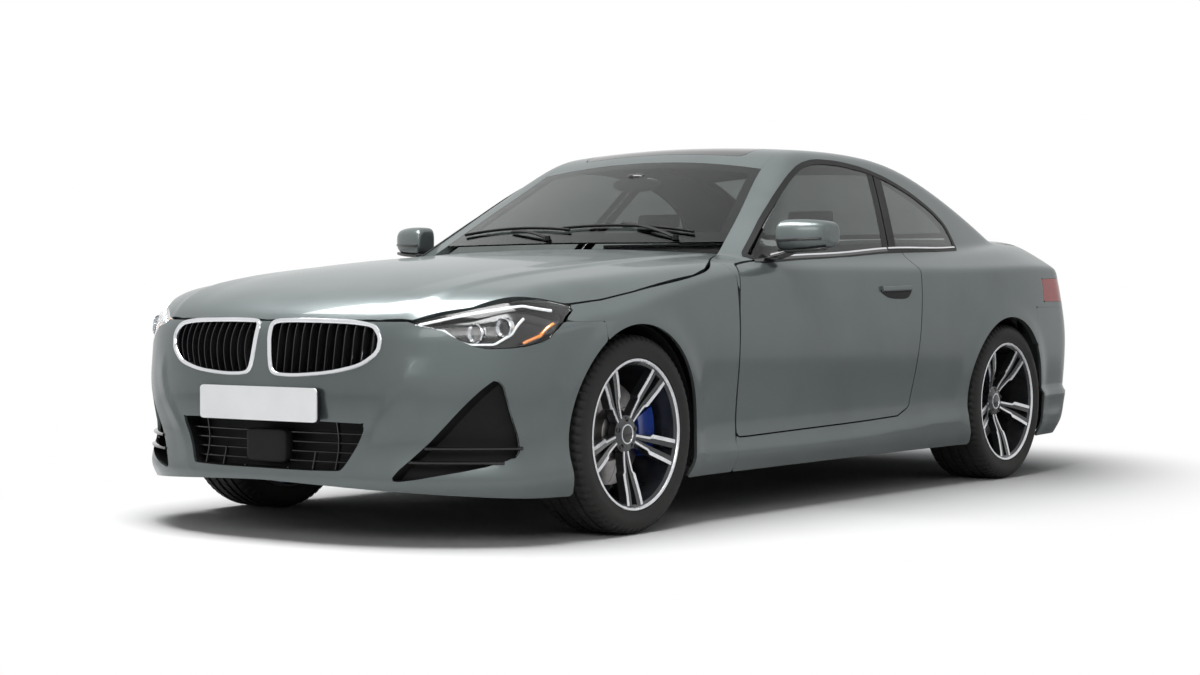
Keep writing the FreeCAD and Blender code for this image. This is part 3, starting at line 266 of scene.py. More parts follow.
def inside(line, a, b):
    """Signed distance in from a closed outline, positive inside."""
    p, q = line, np.roll(line, -1, 0)
    d = q - p
    far = np.full(a.shape, np.inf)
    odd = np.zeros(a.shape, bool)
    for (px, py), (dx, dy) in zip(p, d):
        t = np.clip(((a - px) * dx + (b - py) * dy) / (dx * dx + dy * dy + 1e-9), 0, 1)
        far = np.minimum(far, np.hypot(a - px - t * dx, b - py - t * dy))
        cross = (py > b) != (py + dy > b)
        odd ^= cross & (a < px + (b - py) * dx / (dy if dy else 1e-9))
    return np.where(odd, far, -far)


def trimmed(us, vs, locate, level):
    """Grid of a surface cut to where level is positive.

    Grid points nearest to the cut slide along the grid onto it, faces outside go, and a face with
    one corner outside becomes a triangle.
    """
    u, v = np.meshgrid(us, vs, indexing="ij")
    g = level(locate(u, v))
    best = np.full(g.shape, 0.5)
    du, dv = np.zeros(g.shape), np.zeros(g.shape)
    for axis in (0, 1):
        for way in (1, -1):
            other = np.roll(g, -way, axis)
            valid = np.ones(g.shape, bool)
            edge = [slice(None)] * 2
            edge[axis] = -1 if way == 1 else 0
            valid[tuple(edge)] = False
            share = np.where(valid & (g * other < 0), g / np.where(g == other, 1, g - other), 1.0)
            pick = share <= best
            best = np.where(pick, share, best)
            du = np.where(pick, (np.roll(u, -way, 0) - u) * share if axis == 0 else 0.0, du)
            dv = np.where(pick, (np.roll(v, -way, 1) - v) * share if axis == 1 else 0.0, dv)
    moved = best < 0.5
    g = np.where((du != 0) | (dv != 0) | moved, 0.0, g)
    p = locate(u + du, v + dv)
    index = np.arange(g.size).reshape(g.shape)
    quad = np.stack([index[:-1, :-1], index[1:, :-1], index[1:, 1:], index[:-1, 1:]], -1).reshape(-1, 4)
    flat, points = g.ravel(), p.reshape(-1, 3)
    out = (flat[quad] < 0).sum(1)
    middle = level(points[quad].mean(1))
    full = quad[(out == 0) & (middle > 0)]
    part = quad[out == 1]
    lost = np.argmax(flat[part] < 0, 1)
    three = np.stack([part[np.arange(len(part)), (lost + k) % 4] for k in (1, 2, 3)], 1)
    three = three[level(points[three].mean(1)) > 0]
    return points, full, three


def place(p):
    """Form coordinates to the model's metres."""
    return np.stack([p[..., 0], p[..., 1] - MIDDLE, p[..., 2]], -1) / MODEL_MM


def walled(points, quads, tris, normals, depth):
    """Closed shell: the skin, the same skin moved in by its depth, and a strip round each edge."""
    used, index = np.unique(np.concatenate([quads.ravel(), tris.ravel()]), return_inverse=True)
    quads, tris = index[:quads.size].reshape(-1, 4), index[quads.size:].reshape(-1, 3)
    points, normals = points[used], normals[used]
    if len(quads):
        a, b, c = (points[quads[:, k]] for k in range(3))
        if (np.cross(b - a, c - a) * normals[quads[:, 0]]).sum() < 0:
            quads, tris = quads[:, ::-1], tris[:, ::-1]
    count = len(points)
    edges = np.concatenate([np.stack([f[:, k], f[:, (k + 1) % f.shape[1]]], 1)
                            for f in (quads, tris) for k in range(f.shape[1])])
    key = edges[:, 0] * count + edges[:, 1]
    rim = edges[~np.isin(key, edges[:, 1] * count + edges[:, 0])]
    deep = points - normals * (depth if np.ndim(depth) == 0 else np.asarray(depth)[used][:, None])
    strip = np.stack([rim[:, 1], rim[:, 0], rim[:, 0] + count, rim[:, 1] + count], 1)
    return (np.concatenate([points, deep]), np.concatenate([quads, quads[:, ::-1] + count, strip]),
            np.concatenate([tris, tris[:, ::-1] + count]))


def mirror(shell):
    """Left shell and its copy on the right, in one."""
    points, quads, tris = shell
    other = points * (-1, 1, 1)
    return (np.concatenate([points, other]), np.concatenate([quads, quads[:, ::-1] + len(points)]),
            np.concatenate([tris, tris[:, ::-1] + len(points)]))


def turned_over(shell):
    """The right-hand twin of a left shell."""
    points, quads, tris = shell
    return points * (-1, 1, 1), quads[:, ::-1], tris[:, ::-1]


def join(*shells):
    """Several shells as one."""
    base = np.cumsum([0] + [len(s[0]) for s in shells[:-1]])
    return tuple(np.concatenate(parts) for parts in (
        [s[0] for s in shells], [s[1].reshape(-1, 4) + b for s, b in zip(shells, base)],
        [s[2].reshape(-1, 3) + b for s, b in zip(shells, base)]))


NO_TRIS = np.zeros((0, 3), int)
FINISH = {}


def grid_shell(p, wrap_u=False, wrap_v=False):
    """Quads over a grid of points, joined end to end where it wraps."""
    n, m = p.shape[:2]
    index = np.arange(n * m).reshape(n, m)
    if wrap_u:
        index = np.concatenate([index, index[:1]])
    if wrap_v:
        index = np.concatenate([index, index[:, :1]], 1)
    quads = np.stack([index[:-1, :-1], index[1:, :-1], index[1:, 1:], index[:-1, 1:]], -1).reshape(-1, 4)
    return p.reshape(-1, 3), quads, NO_TRIS


def make(name, shell, look, body_name="shell", *nodes):
    """Puts a shell into a mesh object with a finish, and lets it ride on its CAD body."""
    points, quads, tris = shell
    mesh = bpy.data.meshes.new(name)
    mesh.vertices.add(len(points))
    mesh.vertices.foreach_set("co", place(points).astype(np.float32).ravel())
    loops = np.concatenate([quads.ravel(), tris.ravel()]).astype(np.int32)
    mesh.loops.add(len(loops))
    mesh.loops.foreach_set("vertex_index", loops)
    starts = np.concatenate([np.arange(len(quads)) * 4, len(quads) * 4 + np.arange(len(tris)) * 3])
    mesh.polygons.add(len(starts))
    mesh.polygons.foreach_set("loop_start", starts.astype(np.int32))
    mesh.update(calc_edges=True)
    mesh.validate()
    mesh.shade_smooth()
    mesh.set_sharp_from_angle(angle=math.radians(SHARP_ANGLE))
    mesh.materials.append(FINISH[look])
    piece = bpy.data.objects.new(name, mesh)
    bpy.context.scene.collection.objects.link(piece)
    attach(piece, body_name)
    if nodes:
        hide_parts(*nodes)


def make_pairs(*rows):
    """Left pieces and their right twins on the doors: rows of name, left shell, finish and any node."""
    for side, turn in (("left", lambda shell: shell), ("right", turned_over)):
        for name, shell, look, *nodes in rows:
            make(f"{name}_{side}", turn(shell), look, f"door_{side}", *[f"{node}_{side}" for node in nodes])


def steps(low, high, pitch):
    """Even steps between two limits, as near to the pitch as they fit."""
    return np.linspace(low, high, max(2, int(round(abs(high - low) / pitch)) + 1))


def least(*values):
    """The least of several fields at each point."""
    return np.minimum.reduce(np.broadcast_arrays(*values))


def box_room(a, b, half_a, half_b, corner):
    """Signed distance in from a rectangle with round corners, about its middle."""
    a = np.abs(a) - half_a + corner
    b = np.abs(b) - half_b + corner
    return corner - np.hypot(np.maximum(a, 0), np.maximum(b, 0)) - np.minimum(np.maximum(a, b), 0)


def ridge(value, low, high, soft):
    """One between two limits, falling to nothing over a soft edge."""
    return np.clip((value - low) / soft, 0, 1) * np.clip((high - value) / soft, 0, 1)


def fold(distance, beyond, before):
    """A crease: straight slopes that meet on its line, each with its own reach."""
    return np.clip(1 - np.where(distance > 0, distance / beyond, -distance / before), 0, 1)


sill_line = spline((480, 246), (900, 244), (1436, 248), (2203, 284), (2500, 292))
bumper_line = spline((200, 326), (222, 340), (369, 439), (481, 514), (559, 538), (620, 548))
bonnet_line = spline((-760, 500), (-641, 540), (-300, 585), (86, 600), (751, 645), (870, 655))


def side_lines(p):
    """Height of the crease above the sill."""
    return 9 * fold(p[..., 2] - sill_line(p[..., 1]), 26, 60) * ridge(p[..., 1], 430, 2440, 150)


def bumper_lines(p):
    """Height of the creases beside the lower intake."""
    across = fold(np.abs(p[..., 0]) - bumper_line(p[..., 2]), 80, 16)
    return 7 * across * ridge(p[..., 2], 196, 600, 60) * (p[..., 1] < -500)


def skirt_lines(p):
    """Height of the flared lower edge of the rear bumper, towards its corners."""
    return 16 * fold(p[..., 2] - 352, 22, 150) * np.clip((np.abs(p[..., 0]) - 520) / 160, 0, 1)


def bonnet_lines(p):
    """Height of the bonnet's two creases."""
    return 6 * fold(np.abs(p[..., 0]) - bonnet_line(p[..., 1]), 22, 120) * ridge(p[..., 1], -770, 868, 110)


def cut_skin(us, vs, locate, level, depth, field=body, lines=None):
    """A panel: the form's skin over a grid, cut to its outline, with its wall behind it."""
    points, quads, tris = trimmed(us, vs, locate, level)
    normals = slope(points, field)
    if lines is not None:
        points = points + normals * lines(points)[:, None]
    return walled(points, quads, tris, normals, depth)


def hood_rear(x):
    """Station of the bonnet's rear edge at a distance from the middle."""
    return 738 + 130 * (x / 700) ** 2


HOOD_LIP = [(0, NOSE + 39), (200, NOSE + 48), (340, NOSE + 60), (442, NOSE + 84), (548, NOSE + 125),
            (682, NOSE + 241), (785, NOSE + 415), (832, NOSE + 527), (848, NOSE + 700), (853, NOSE + 880)]
HOOD_SIDE = [(853, 35), (850, 400), (830, 500), (786, 590), (745, 660), (705, 740), (672, 820), (655, 846)]
HOOD_REAR = [(x, hood_rear(x)) for x in (640, 560, 460, 340, 200, 70)]
HOOD_HALF = HOOD_LIP[1:] + HOOD_SIDE[1:] + HOOD_REAR
HOOD = np.array([HOOD_LIP[0]] + HOOD_HALF + [(-x, s) for x, s in reversed(HOOD_HALF)], float)
DOOR = rounded([(643, 296), (660, 289), (1000, 295), (1500, 303), (1895, 315), (1938, 460), (1962, 600),
                (1985, 760), (1999, 860), (2022, 955), (2031, 973), (1907, 968), (1500, 944), (1100, 928),
                (830, 912), (669, 893), (645, 760), (641, 620), (643, 450)], 1)
WINDOW = rounded([(812, 914), (1100, 931), (1500, 947), (1907, 971), (2500, 982), (2600, 986), (2613, 1020),
                  (2609, 1085), (2541, 1142), (2409, 1208), (2241, 1262), (2061, 1298), (1850, 1316),
                  (1650, 1315), (1510, 1289), (1380, 1238), (1240, 1168), (1080, 1078), (940, 992)], 1)
LAMP = rounded([(548, 700), (556, 708), (682, 745), (785, 776), (812, 780), (850, 752), (884, 698),
                (874, 648), (826, 628), (735, 624), (658, 668), (629, 686)], 1)
KIDNEY = rounded([(42, 562), (26, 688), (40, 705), (150, 707), (340, 704), (427, 694), (458, 660),
                  (453, 612), (398, 570), (291, 546), (152, 535), (62, 538)], 2)
LOWER_INTAKE = rounded([(-400, 392), (-404, 372), (-382, 330), (-335, 246), (-320, 234), (320, 234),
                        (335, 246), (382, 330), (404, 372), (400, 392)], 1)
CORNER_INTAKE = rounded([(490, 214), (632, 366), (768, 526), (782, 524), (796, 500), (818, 306), (808, 280),
                         (736, 250), (526, 206)], 1)
TAIL_LAMP = np.array([(597, 860), (880, 860), (960, 840), (960, 762), (800, 752), (597, 752)], float)
bonnet_front = spline((0, -823), (300, -805), (500, -755), (650, -645), (760, -505), (866, -315))
belt_line = spline((812, 914), (1100, 931), (1500, 947), (1907, 971), (2500, 982), (2604, 986))


def arch_room(p, axle, radius):
    """Distance outside a wheel opening."""
    return np.hypot(p[..., 1] - axle, p[..., 2] - AXLE) - radius


def bonnet_shell():
    """Bonnet with its two creases."""
    def locate(x, v):
        front = bonnet_front(np.abs(x))
        return top_skin(x, front + (BONNET_END - front) * v, lower_body, LOW_CORE)

    return cut_skin(steps(-866, 866, 14), np.linspace(0, 1, 124), locate,
                    lambda p: inside(HOOD, p[..., 0], p[..., 1]), 20, lower_body, bonnet_lines)


def wing_shell():
    """Left front wing, from the headlamp to the door."""
    def level(p):
        x, s, z = p[..., 0], p[..., 1], p[..., 2]
        lamp = np.maximum(s + 300, -inside(LAMP, x, z) - LAMP_GAP)
        bumper = np.maximum(s - BUMPER_END, z - BUMPER_TOP - JOINT)
        bumper_step = np.maximum(s, z - BUMPER_STEP - JOINT)
        return least(z - SILL, x - wing_edge(s) - 6.5, s + 420, 634 - s, arch_room(p, 0, ARCH[0]),
                     bumper, bumper_step, lamp, -inside(HOOD, x, s) - SHUT)

    return cut_skin(steps(-424, 640, 11), np.radians(steps(-27.5, 27, 0.7)), section_skin, level, 12,
                    lines=side_lines)


def front_bumper_shell():
    """Front bumper, open at the grilles, the intakes and the lamps."""
    def level(p):
        x, s, z = np.abs(p[..., 0]), p[..., 1], p[..., 2]
        lip = 196 - 45 * (x / 860) ** 1.5
        openings = [-inside(line, x, z) for line in (KIDNEY, CORNER_INTAKE, LOWER_INTAKE)]
        return least(z - lip, BUMPER_TOP - z, -inside(LAMP, x, z) - LAMP_GAP, *openings,
                     np.maximum(BUMPER_MIDDLE - x, arch_room(p, 0, ARCH[0])),
                     np.maximum(BUMPER_MIDDLE - x, BUMPER_END - 2 * JOINT - s))

    return cut_skin(np.radians(steps(-72, 72, 0.7)), steps(140, 712, 9), nose_fan, level, 10,
                    lines=bumper_lines)


def quarter_fan(u, angle):
    """Rays out sideways along the cabin, then turning rearwards round the tail's corner."""
    turn = np.maximum(u - FAN_TURN, 0) / 850
    flat = np.cos(angle)
    start = (u * 0, np.minimum(u, FAN_TURN), u * 0 + CORE)
    return cast(start, (np.cos(turn) * flat, np.sin(turn) * flat, np.sin(angle)))


def side_frame_shell():
    """Left side frame: pillars, roof rail, sill and rear quarter in one panel."""
    def level(p):
        x, s, z = p[..., 0], p[..., 1], p[..., 2]
        bumper = np.maximum(REAR_BUMPER_START - JOINT - s, z - REAR_BUMPER_TOP - JOINT)
        lamp = np.maximum(TAIL_LAMP_START - s, -inside(TAIL_LAMP, x, z) - JOINT)
        boot = np.maximum(BOOT_SIDE_START - s, x - BOOT_HALF - SHUT)
        return least(z - SILL, x - frame_edge(s), s - 635, -inside(DOOR, s, z) - SHUT, -inside(WINDOW, s, z),
                     arch_room(p, WHEELBASE, ARCH[1]), bumper, lamp, -inside(HOOD, x, s) - SHUT, boot)

    return cut_skin(steps(632, 3800, 15), np.radians(steps(-27.5, 60, 0.95)), quarter_fan, level, 24,
                    lines=side_lines)


def door_shell():
    """Left door below its window."""
    return cut_skin(steps(634, 2040, 13), steps(280, 985, 12), side_skin,
                    lambda p: inside(DOOR, p[..., 1], p[..., 2]), 28, lines=side_lines)


def rear_bumper_shell():
    """Rear bumper with its flared lower edge."""
    def level(p):
        x, s, z = np.abs(p[..., 0]), p[..., 1], p[..., 2]
        return least(z - SILL, REAR_BUMPER_TOP - z,
                     np.maximum(BUMPER_MIDDLE - x, arch_room(p, WHEELBASE, ARCH[1])),
                     np.maximum(BUMPER_MIDDLE - x, s - REAR_BUMPER_START))

    return cut_skin(np.radians(steps(-64, 64, 0.8)), steps(160, 742, 12), tail_fan, level, 10,
                    lines=skirt_lines)


def boot_lid_shell():
    """Boot lid: its top and the upper part of the tail."""
    def locate(x, angle):
        return cast((x, x * 0 + 3261, x * 0 + 780), (x * 0, np.cos(angle), np.sin(angle)))

    def level(p):
        return least(BOOT_HALF - np.abs(p[..., 0]), p[..., 1] - BOOT_START, p[..., 2] - BOOT_FOOT)

    return cut_skin(steps(-BOOT_HALF, BOOT_HALF, 14), np.radians(steps(-9, 93, 1.4)), locate, level, 20)


def top_band(first, last):
    """Grid over the roof between two edges, as wide as the side frames leave it."""
    def locate(u, v):
        s = first(u) + (last(u) - first(u)) * v
        return top_skin(u * (frame_edge(s) - JOINT), s)

    return locate


def screen_foot(u):
    """Station of the windscreen's lower edge at a share of its half width."""
    return 775 + 112 * u * u


def window_foot(u):
    """Station of the rear window's lower edge at a share of its half width."""
    return 3228 - 88 * u * u


def straight_edge(station):
    """An edge straight across the car."""
    return lambda u: station + 0 * u


WINDSCREEN = top_band(screen_foot, straight_edge(SCREEN_TOP))
ROOF = top_band(straight_edge(SCREEN_TOP + JOINT), straight_edge(ROOF_END))
REAR_WINDOW = top_band(straight_edge(ROOF_END + JOINT), window_foot)


def whole(p):
    """Level of a surface that isn't cut."""
    return np.ones(p.shape[:-1])


def sunroof_room(p):
    """Signed distance in from the sunroof's rounded outline."""
    return box_room(p[..., 0], p[..., 1] - 1620, 390, 180, 30)


def glass_skin(us, vs, locate, level, field=body):
    """A pane of the glass's thickness."""
    return cut_skin(us, vs, locate, level, 5, field)


def pillar_cover(front):
    """Black cover over the window pillar, on the edge of the door glass or of the quarter glass."""
    pane = side_glass_level(front)

    def level(p):
        gap = pillar_gap(p)
        return least(pane(p), gap + 42 if front else 58 - gap)

    return lined((steps(1800, 2300, 6), steps(900, 1330, 8), band_skin), level, 1.2, 1.0, greenhouse)


def pillar_gap(p):
    """Distance behind the leaning gap between door glass and quarter glass."""
    return (p[..., 1] - 1907 - (p[..., 2] - BELT) * 0.6266) * 0.847


def side_glass_level(front):
    """Door glass ahead of the leaning gap, quarter glass behind it."""
    def level(p):
        pane = inside(WINDOW, p[..., 1], p[..., 2])
        gap = pillar_gap(p)
        if front:
            return least(pane - SHUT, -gap - 4)
        return least(pane - JOINT, gap - 4)

    return level


def band_skin(s, z):
    """Left side of the cabin's own form, without the shoulder below it."""
    return side_skin(s, z, greenhouse)


def socket_types(tree, names, way):
    """The sockets of a node group on one of its sides."""
    kinds = {"float": "NodeSocketFloat", "color": "NodeSocketColor", "vector": "NodeSocketVector"}
    for name, kind, default in names:
        made = tree.interface.new_socket(name=name, in_out=way, socket_type=kinds[kind])
        if default is not None:
            made.default_value = default


def add(tree, kind, **values):
    """A node with its settings and unlinked inputs filled in; a socket given as a value is linked."""
    made = tree.nodes.new("ShaderNode" + kind)
    for key, value in values.items():
        if key.startswith("at"):
            socket = made.inputs[int(key[2:])]
        else:
            socket = made.inputs.get(key.replace("_", " "))
        if socket is None:
            setattr(made, key, value)
        elif isinstance(value, bpy.types.NodeSocket):
            tree.links.new(value, socket)
        else:
            socket.default_value = value
    return made


def worked(tree, operation, *values):
    """The result of one step of arithmetic on sockets and numbers."""
    inputs = {f"at{k}": value for k, value in enumerate(values)}
    return add(tree, "Math", operation=operation, **inputs).outputs[0]


def mapped(tree, value, low, high, first, last, **more):
    """A value taken from one range to another."""
    return add(tree, "MapRange", at0=value, at1=low, at2=high, at3=first, at4=last, **more).outputs[0]


def effect(name, inputs, outputs, build):
    """A shader node group made once and used by many finishes."""
    tree = bpy.data.node_groups.new(name, "ShaderNodeTree")
    socket_types(tree, inputs, "INPUT")
    socket_types(tree, outputs, "OUTPUT")
    start = tree.nodes.new("NodeGroupInput")
    end = tree.nodes.new("NodeGroupOutput")
    for key, socket in build(tree, start.outputs).items():
        tree.links.new(socket, end.inputs[key])
    return tree


def build_mottle(tree, given):
    """Colour that drifts a little between two shades, with fine specks on top."""
    where = add(tree, "TexCoord").outputs["Object"]
    broad = add(tree, "TexNoise", Vector=where, Scale=given["Scale"], Detail=3.0)
    fine = add(tree, "TexNoise", Vector=where, Scale=given["Speck scale"], Detail=1.0)
    both = worked(tree, "MULTIPLY_ADD", fine.outputs[0], given["Speck"], broad.outputs[0])
    shade = mapped(tree, both, 0.35, 0.8, 0.0, 1.0)
    mixed = add(tree, "Mix", data_type="RGBA", at0=shade, at6=given["Dark"], at7=given["Light"])
    rough = mapped(tree, both, 0.3, 0.9, given["Smooth"], given["Rough"])
    return {"Color": mixed.outputs[2], "Roughness": rough}


def build_grain(tree, given):
    """Bump of a moulded or stitched-down surface: small cells of the given size."""
    where = add(tree, "TexCoord").outputs["Object"]
    cells = add(tree, "TexVoronoi", Vector=where, Scale=given["Scale"], feature="F1")
    waves = add(tree, "TexNoise", Vector=where, Scale=given["Scale"], Detail=2.0)
    height = worked(tree, "MULTIPLY", cells.outputs["Distance"], waves.outputs[0])
    bump = add(tree, "Bump", Strength=given["Strength"], Distance=0.0006, Height=height)
    return {"Normal": bump.outputs[0]}


def build_dust(tree, given):
    """Road dust that thickens towards the ground."""
    where = add(tree, "TexCoord").outputs["Object"]
    parts = add(tree, "SeparateXYZ", Vector=where)
    drift = add(tree, "TexNoise", Vector=where, Scale=7.0, Detail=4.0)
    low = mapped(tree, parts.outputs[2], 0.05, given["Top"], 1.0, 0.0)
    share = worked(tree, "MULTIPLY", worked(tree, "MULTIPLY", low, drift.outputs[0]), given["Amount"])
    mixed = add(tree, "Mix", data_type="RGBA", at0=share, at6=given["Color"], at7=DUST_COLOR)
    return {"Color": mixed.outputs[2]}


MOTTLE = effect("Mottle", [("Dark", "color", None), ("Light", "color", None), ("Scale", "float", 6.0),
                           ("Speck scale", "float", 900.0), ("Speck", "float", 0.2),
                           ("Smooth", "float", 0.3), ("Rough", "float", 0.4)],
                [("Color", "color", None), ("Roughness", "float", None)], build_mottle)
GRAIN = effect("Grain", [("Scale", "float", 600.0), ("Strength", "float", 0.4)],
               [("Normal", "vector", None)], build_grain)
DUST = effect("Dust", [("Color", "color", None), ("Top", "float", 0.45), ("Amount", "float", 0.25)],
              [("Color", "color", None)], build_dust)


def grouped(tree, group, **values):
    """One use of a shared node group."""
    return add(tree, "Group", node_tree=group, **values)


def finish(name, dark, light, smooth=0.3, rough=0.45, scale=6.0, speck=0.15, speck_scale=900.0,
           grain=None, dust=0.0, **shader):
    """A finish: mottled colour and roughness, dust low down and grain, on one Principled shader."""
    material = bpy.data.materials.new(name)
    material.use_nodes = True
    tree = material.node_tree
    surface = tree.nodes["Principled BSDF"]
    mottle = grouped(tree, MOTTLE, Dark=(*dark, 1.0), Light=(*light, 1.0), Scale=scale, Speck=speck,
                     Speck_scale=speck_scale, Smooth=smooth, Rough=rough)
    color = mottle.outputs["Color"]
    if dust:
        color = grouped(tree, DUST, Color=color, Amount=dust).outputs["Color"]
    tree.links.new(color, surface.inputs["Base Color"])
    tree.links.new(mottle.outputs["Roughness"], surface.inputs["Roughness"])
    if grain:
        moulded = grouped(tree, GRAIN, Scale=grain[0], Strength=grain[1])
        tree.links.new(moulded.outputs["Normal"], surface.inputs["Normal"])
    for key, value in shader.items():
        surface.inputs[key.replace("_", " ")].default_value = value
    return material


def make_finishes(paint):
    """Every finish of the car, from the body colour up."""
    dark = tuple(c * 0.86 for c in paint)
    light = tuple(c * 1.1 for c in paint)
    FINISH.update(
        paint=finish("grey_metallic_paint", dark, light, 0.27, 0.34, 3.0, 0.5, 1900.0, dust=0.06,
                     Metallic=0.6, Specular_Tint=(0.45, 0.48, 0.48, 1.0), Coat_Weight=0.4,
                     Coat_Roughness=0.04),
        gloss=finish("gloss_black_trim", (0.004, 0.004, 0.005), (0.012, 0.012, 0.013), 0.08, 0.16),
        satin=finish("moulded_black_plastic", (0.006, 0.006, 0.0065), (0.012, 0.012, 0.0125), 0.42, 0.6,
                     grain=(900.0, 0.3), dust=0.04, Specular_IOR_Level=0.12),
        chrome=finish("bright_chrome", (0.62, 0.63, 0.65), (0.74, 0.75, 0.77), 0.06, 0.14, Metallic=1.0),
        rubber=finish("tyre_rubber", (0.005, 0.005, 0.005), (0.013, 0.0125, 0.012), 0.55, 0.75, 14.0,
                      grain=(500.0, 0.25), dust=0.08, Specular_IOR_Level=0.25),
        machined=finish("machined_alloy", (0.55, 0.56, 0.58), (0.68, 0.69, 0.71), 0.2, 0.32, 30.0,
                        Metallic=0.9, Coat_Weight=0.6),
        pocket=finish("dark_alloy", (0.018, 0.019, 0.021), (0.035, 0.036, 0.039), 0.25, 0.38, 20.0,
                      Metallic=0.5, Coat_Weight=0.5),
        iron=finish("disc_iron", (0.24, 0.23, 0.23), (0.38, 0.37, 0.36), 0.3, 0.42, 25.0, Metallic=1.0),
        blue=finish("blue_caliper_paint", (0.004, 0.03, 0.23), (0.008, 0.05, 0.33), 0.2, 0.32, 18.0,
                    Coat_Weight=0.7),
        glass=finish("screen_glass", (0.30, 0.33, 0.32), (0.34, 0.37, 0.36), 0.0, 0.005,
                     Transmission_Weight=1.0, IOR=1.25),
        dark_glass=finish("side_glass", (0.17, 0.19, 0.185), (0.20, 0.22, 0.215), 0.0, 0.005,
                          Transmission_Weight=1.0, IOR=1.28),
        lens=finish("clear_lens", (0.95, 0.96, 0.96), (1.0, 1.0, 1.0), 0.0, 0.01, Transmission_Weight=1.0,
                    IOR=1.3),
        red=finish("red_lens", (0.30, 0.004, 0.005), (0.42, 0.008, 0.008), 0.08, 0.16, 12.0,
                   Specular_IOR_Level=0.25),
        amber=finish("amber_lens", (0.75, 0.2, 0.02), (0.85, 0.28, 0.03), 0.1, 0.2, 12.0, Coat_Weight=1.0),
        glow=finish("bright_light_guide", (0.82, 0.84, 0.85), (0.92, 0.93, 0.93), 0.2, 0.3, 12.0,
                    Emission_Color=(0.9, 0.95, 1.0, 1.0), Emission_Strength=0.25),
        leather=finish("black_leather", (0.014, 0.013, 0.013), (0.032, 0.030, 0.029), 0.38, 0.52, 8.0,
                       grain=(420.0, 0.6), Coat_Weight=0.1),
        soft=finish("soft_dash_plastic", (0.016, 0.016, 0.017), (0.030, 0.030, 0.031), 0.5, 0.66, 8.0,
                    grain=(700.0, 0.5)),
        carpet=finish("dark_carpet", (0.010, 0.010, 0.011), (0.028, 0.028, 0.028), 0.85, 0.98, 60.0, 0.9,
                      1500.0, grain=(900.0, 1.0)),
        steel=finish("coated_steel", (0.025, 0.026, 0.028), (0.05, 0.05, 0.052), 0.4, 0.6, 10.0,
                     Metallic=0.4, dust=0.3),
        alloy=finish("cast_alloy", (0.26, 0.26, 0.27), (0.40, 0.40, 0.41), 0.42, 0.6, 14.0,
                     grain=(350.0, 0.5), Metallic=0.85, dust=0.2),
        plate=finish("plain_plate", (0.70, 0.71, 0.72), (0.78, 0.79, 0.79), 0.25, 0.35, 5.0,
                     Coat_Weight=0.3),
    )


def front_point(x, z, depth=0.0):
    """Skin of the nose straight ahead of a point of the front view, or a depth behind that."""
    p = cast((x, x * 0 + 200, z), AHEAD)
    p[..., 1] += depth
    return p


def rear_point(x, z):
    """Skin of the tail straight behind a point of the rear view."""
    return cast((x, x * 0 + 2700, z), BACK)


def sweep(path, section, up=None, closed=True):
    """A section of (across, out) offsets carried along a path.

    Each ring stands across the path's tangent; out is the given normal at each path point.
    """
    ahead = np.roll(path, -1, 0) - np.roll(path, 1, 0)
    if not closed:
        ahead[0] = path[1] - path[0]
        ahead[-1] = path[-1] - path[-2]
    ahead /= np.linalg.norm(ahead, axis=1, keepdims=True)
    out = slope(path) if up is None else np.broadcast_to(np.asarray(up, float), path.shape)
    out = out - (out * ahead).sum(1, keepdims=True) * ahead
    out /= np.linalg.norm(out, axis=1, keepdims=True)
    across = np.cross(ahead, out)
    section = np.asarray(section, float)
    rings = path[:, None] + across[:, None] * section[None, :, :1] + out[:, None] * section[None, :, 1:]
    if closed:
        return facing_out(grid_shell(rings, True, True))
    return facing_out(capped(rings))


def capped(rings):
    """A tube of rings with a fan over each end."""
    n, m = rings.shape[:2]
    points, quads, _ = grid_shell(rings, False, True)
    ends = np.stack([rings[0].mean(0), rings[-1].mean(0)])
    k = np.arange(m)
    first = np.stack([np.full(m, n * m), (k + 1) % m, k], 1)
    last = np.stack([np.full(m, n * m + 1), (n - 1) * m + k, (n - 1) * m + (k + 1) % m], 1)
    return np.concatenate([points, ends]), quads, np.concatenate([first[:, ::-1], last[:, ::-1]])


def facing_out(shell):
    """Turns a closed shell's faces out where its signed volume is negative."""
    points, quads, tris = shell
    a, b, c, d = (points[quads[:, k]] for k in range(4))
    volume = (a * np.cross(b, c)).sum() + (a * np.cross(c, d)).sum()
    if len(tris):
        e, f, g = (points[tris[:, k]] for k in range(3))
        volume += (e * np.cross(f, g)).sum()
    return (points, quads[:, ::-1], tris[:, ::-1]) if volume < 0 else shell


def bent(value, power):
    """A cosine or sine raised to a power, its sign kept."""
    return np.sign(value) * np.abs(value) ** power


def ring_section(wide, high, count=12, power=2.6):
    """Rounded box section: a superellipse with a third of its height below the path."""
    a = np.linspace(0, 2 * np.pi, count, endpoint=False)
    return np.stack([wide / 2 * bent(np.cos(a), 2 / power),
                     high / 2 * bent(np.sin(a), 2 / power) + high / 6], 1)


def bar(path, wide, high, up=None, count=10, power=3.0):
    """A rounded box section carried along an open path."""
    return sweep(path, ring_section(wide, high, count, power), up, closed=False)


def strip_section(wide, depth, lift):
    """A flat strip's section, from its depth under the skin to its lift above it."""
    return [(-wide / 2, lift), (wide / 2, lift), (wide / 2, -depth), (-wide / 2, -depth)]


def way_along(path):
    """Distance along a path to each of its points."""
    return np.concatenate([[0], np.cumsum(np.linalg.norm(np.diff(path, axis=0), axis=1))])


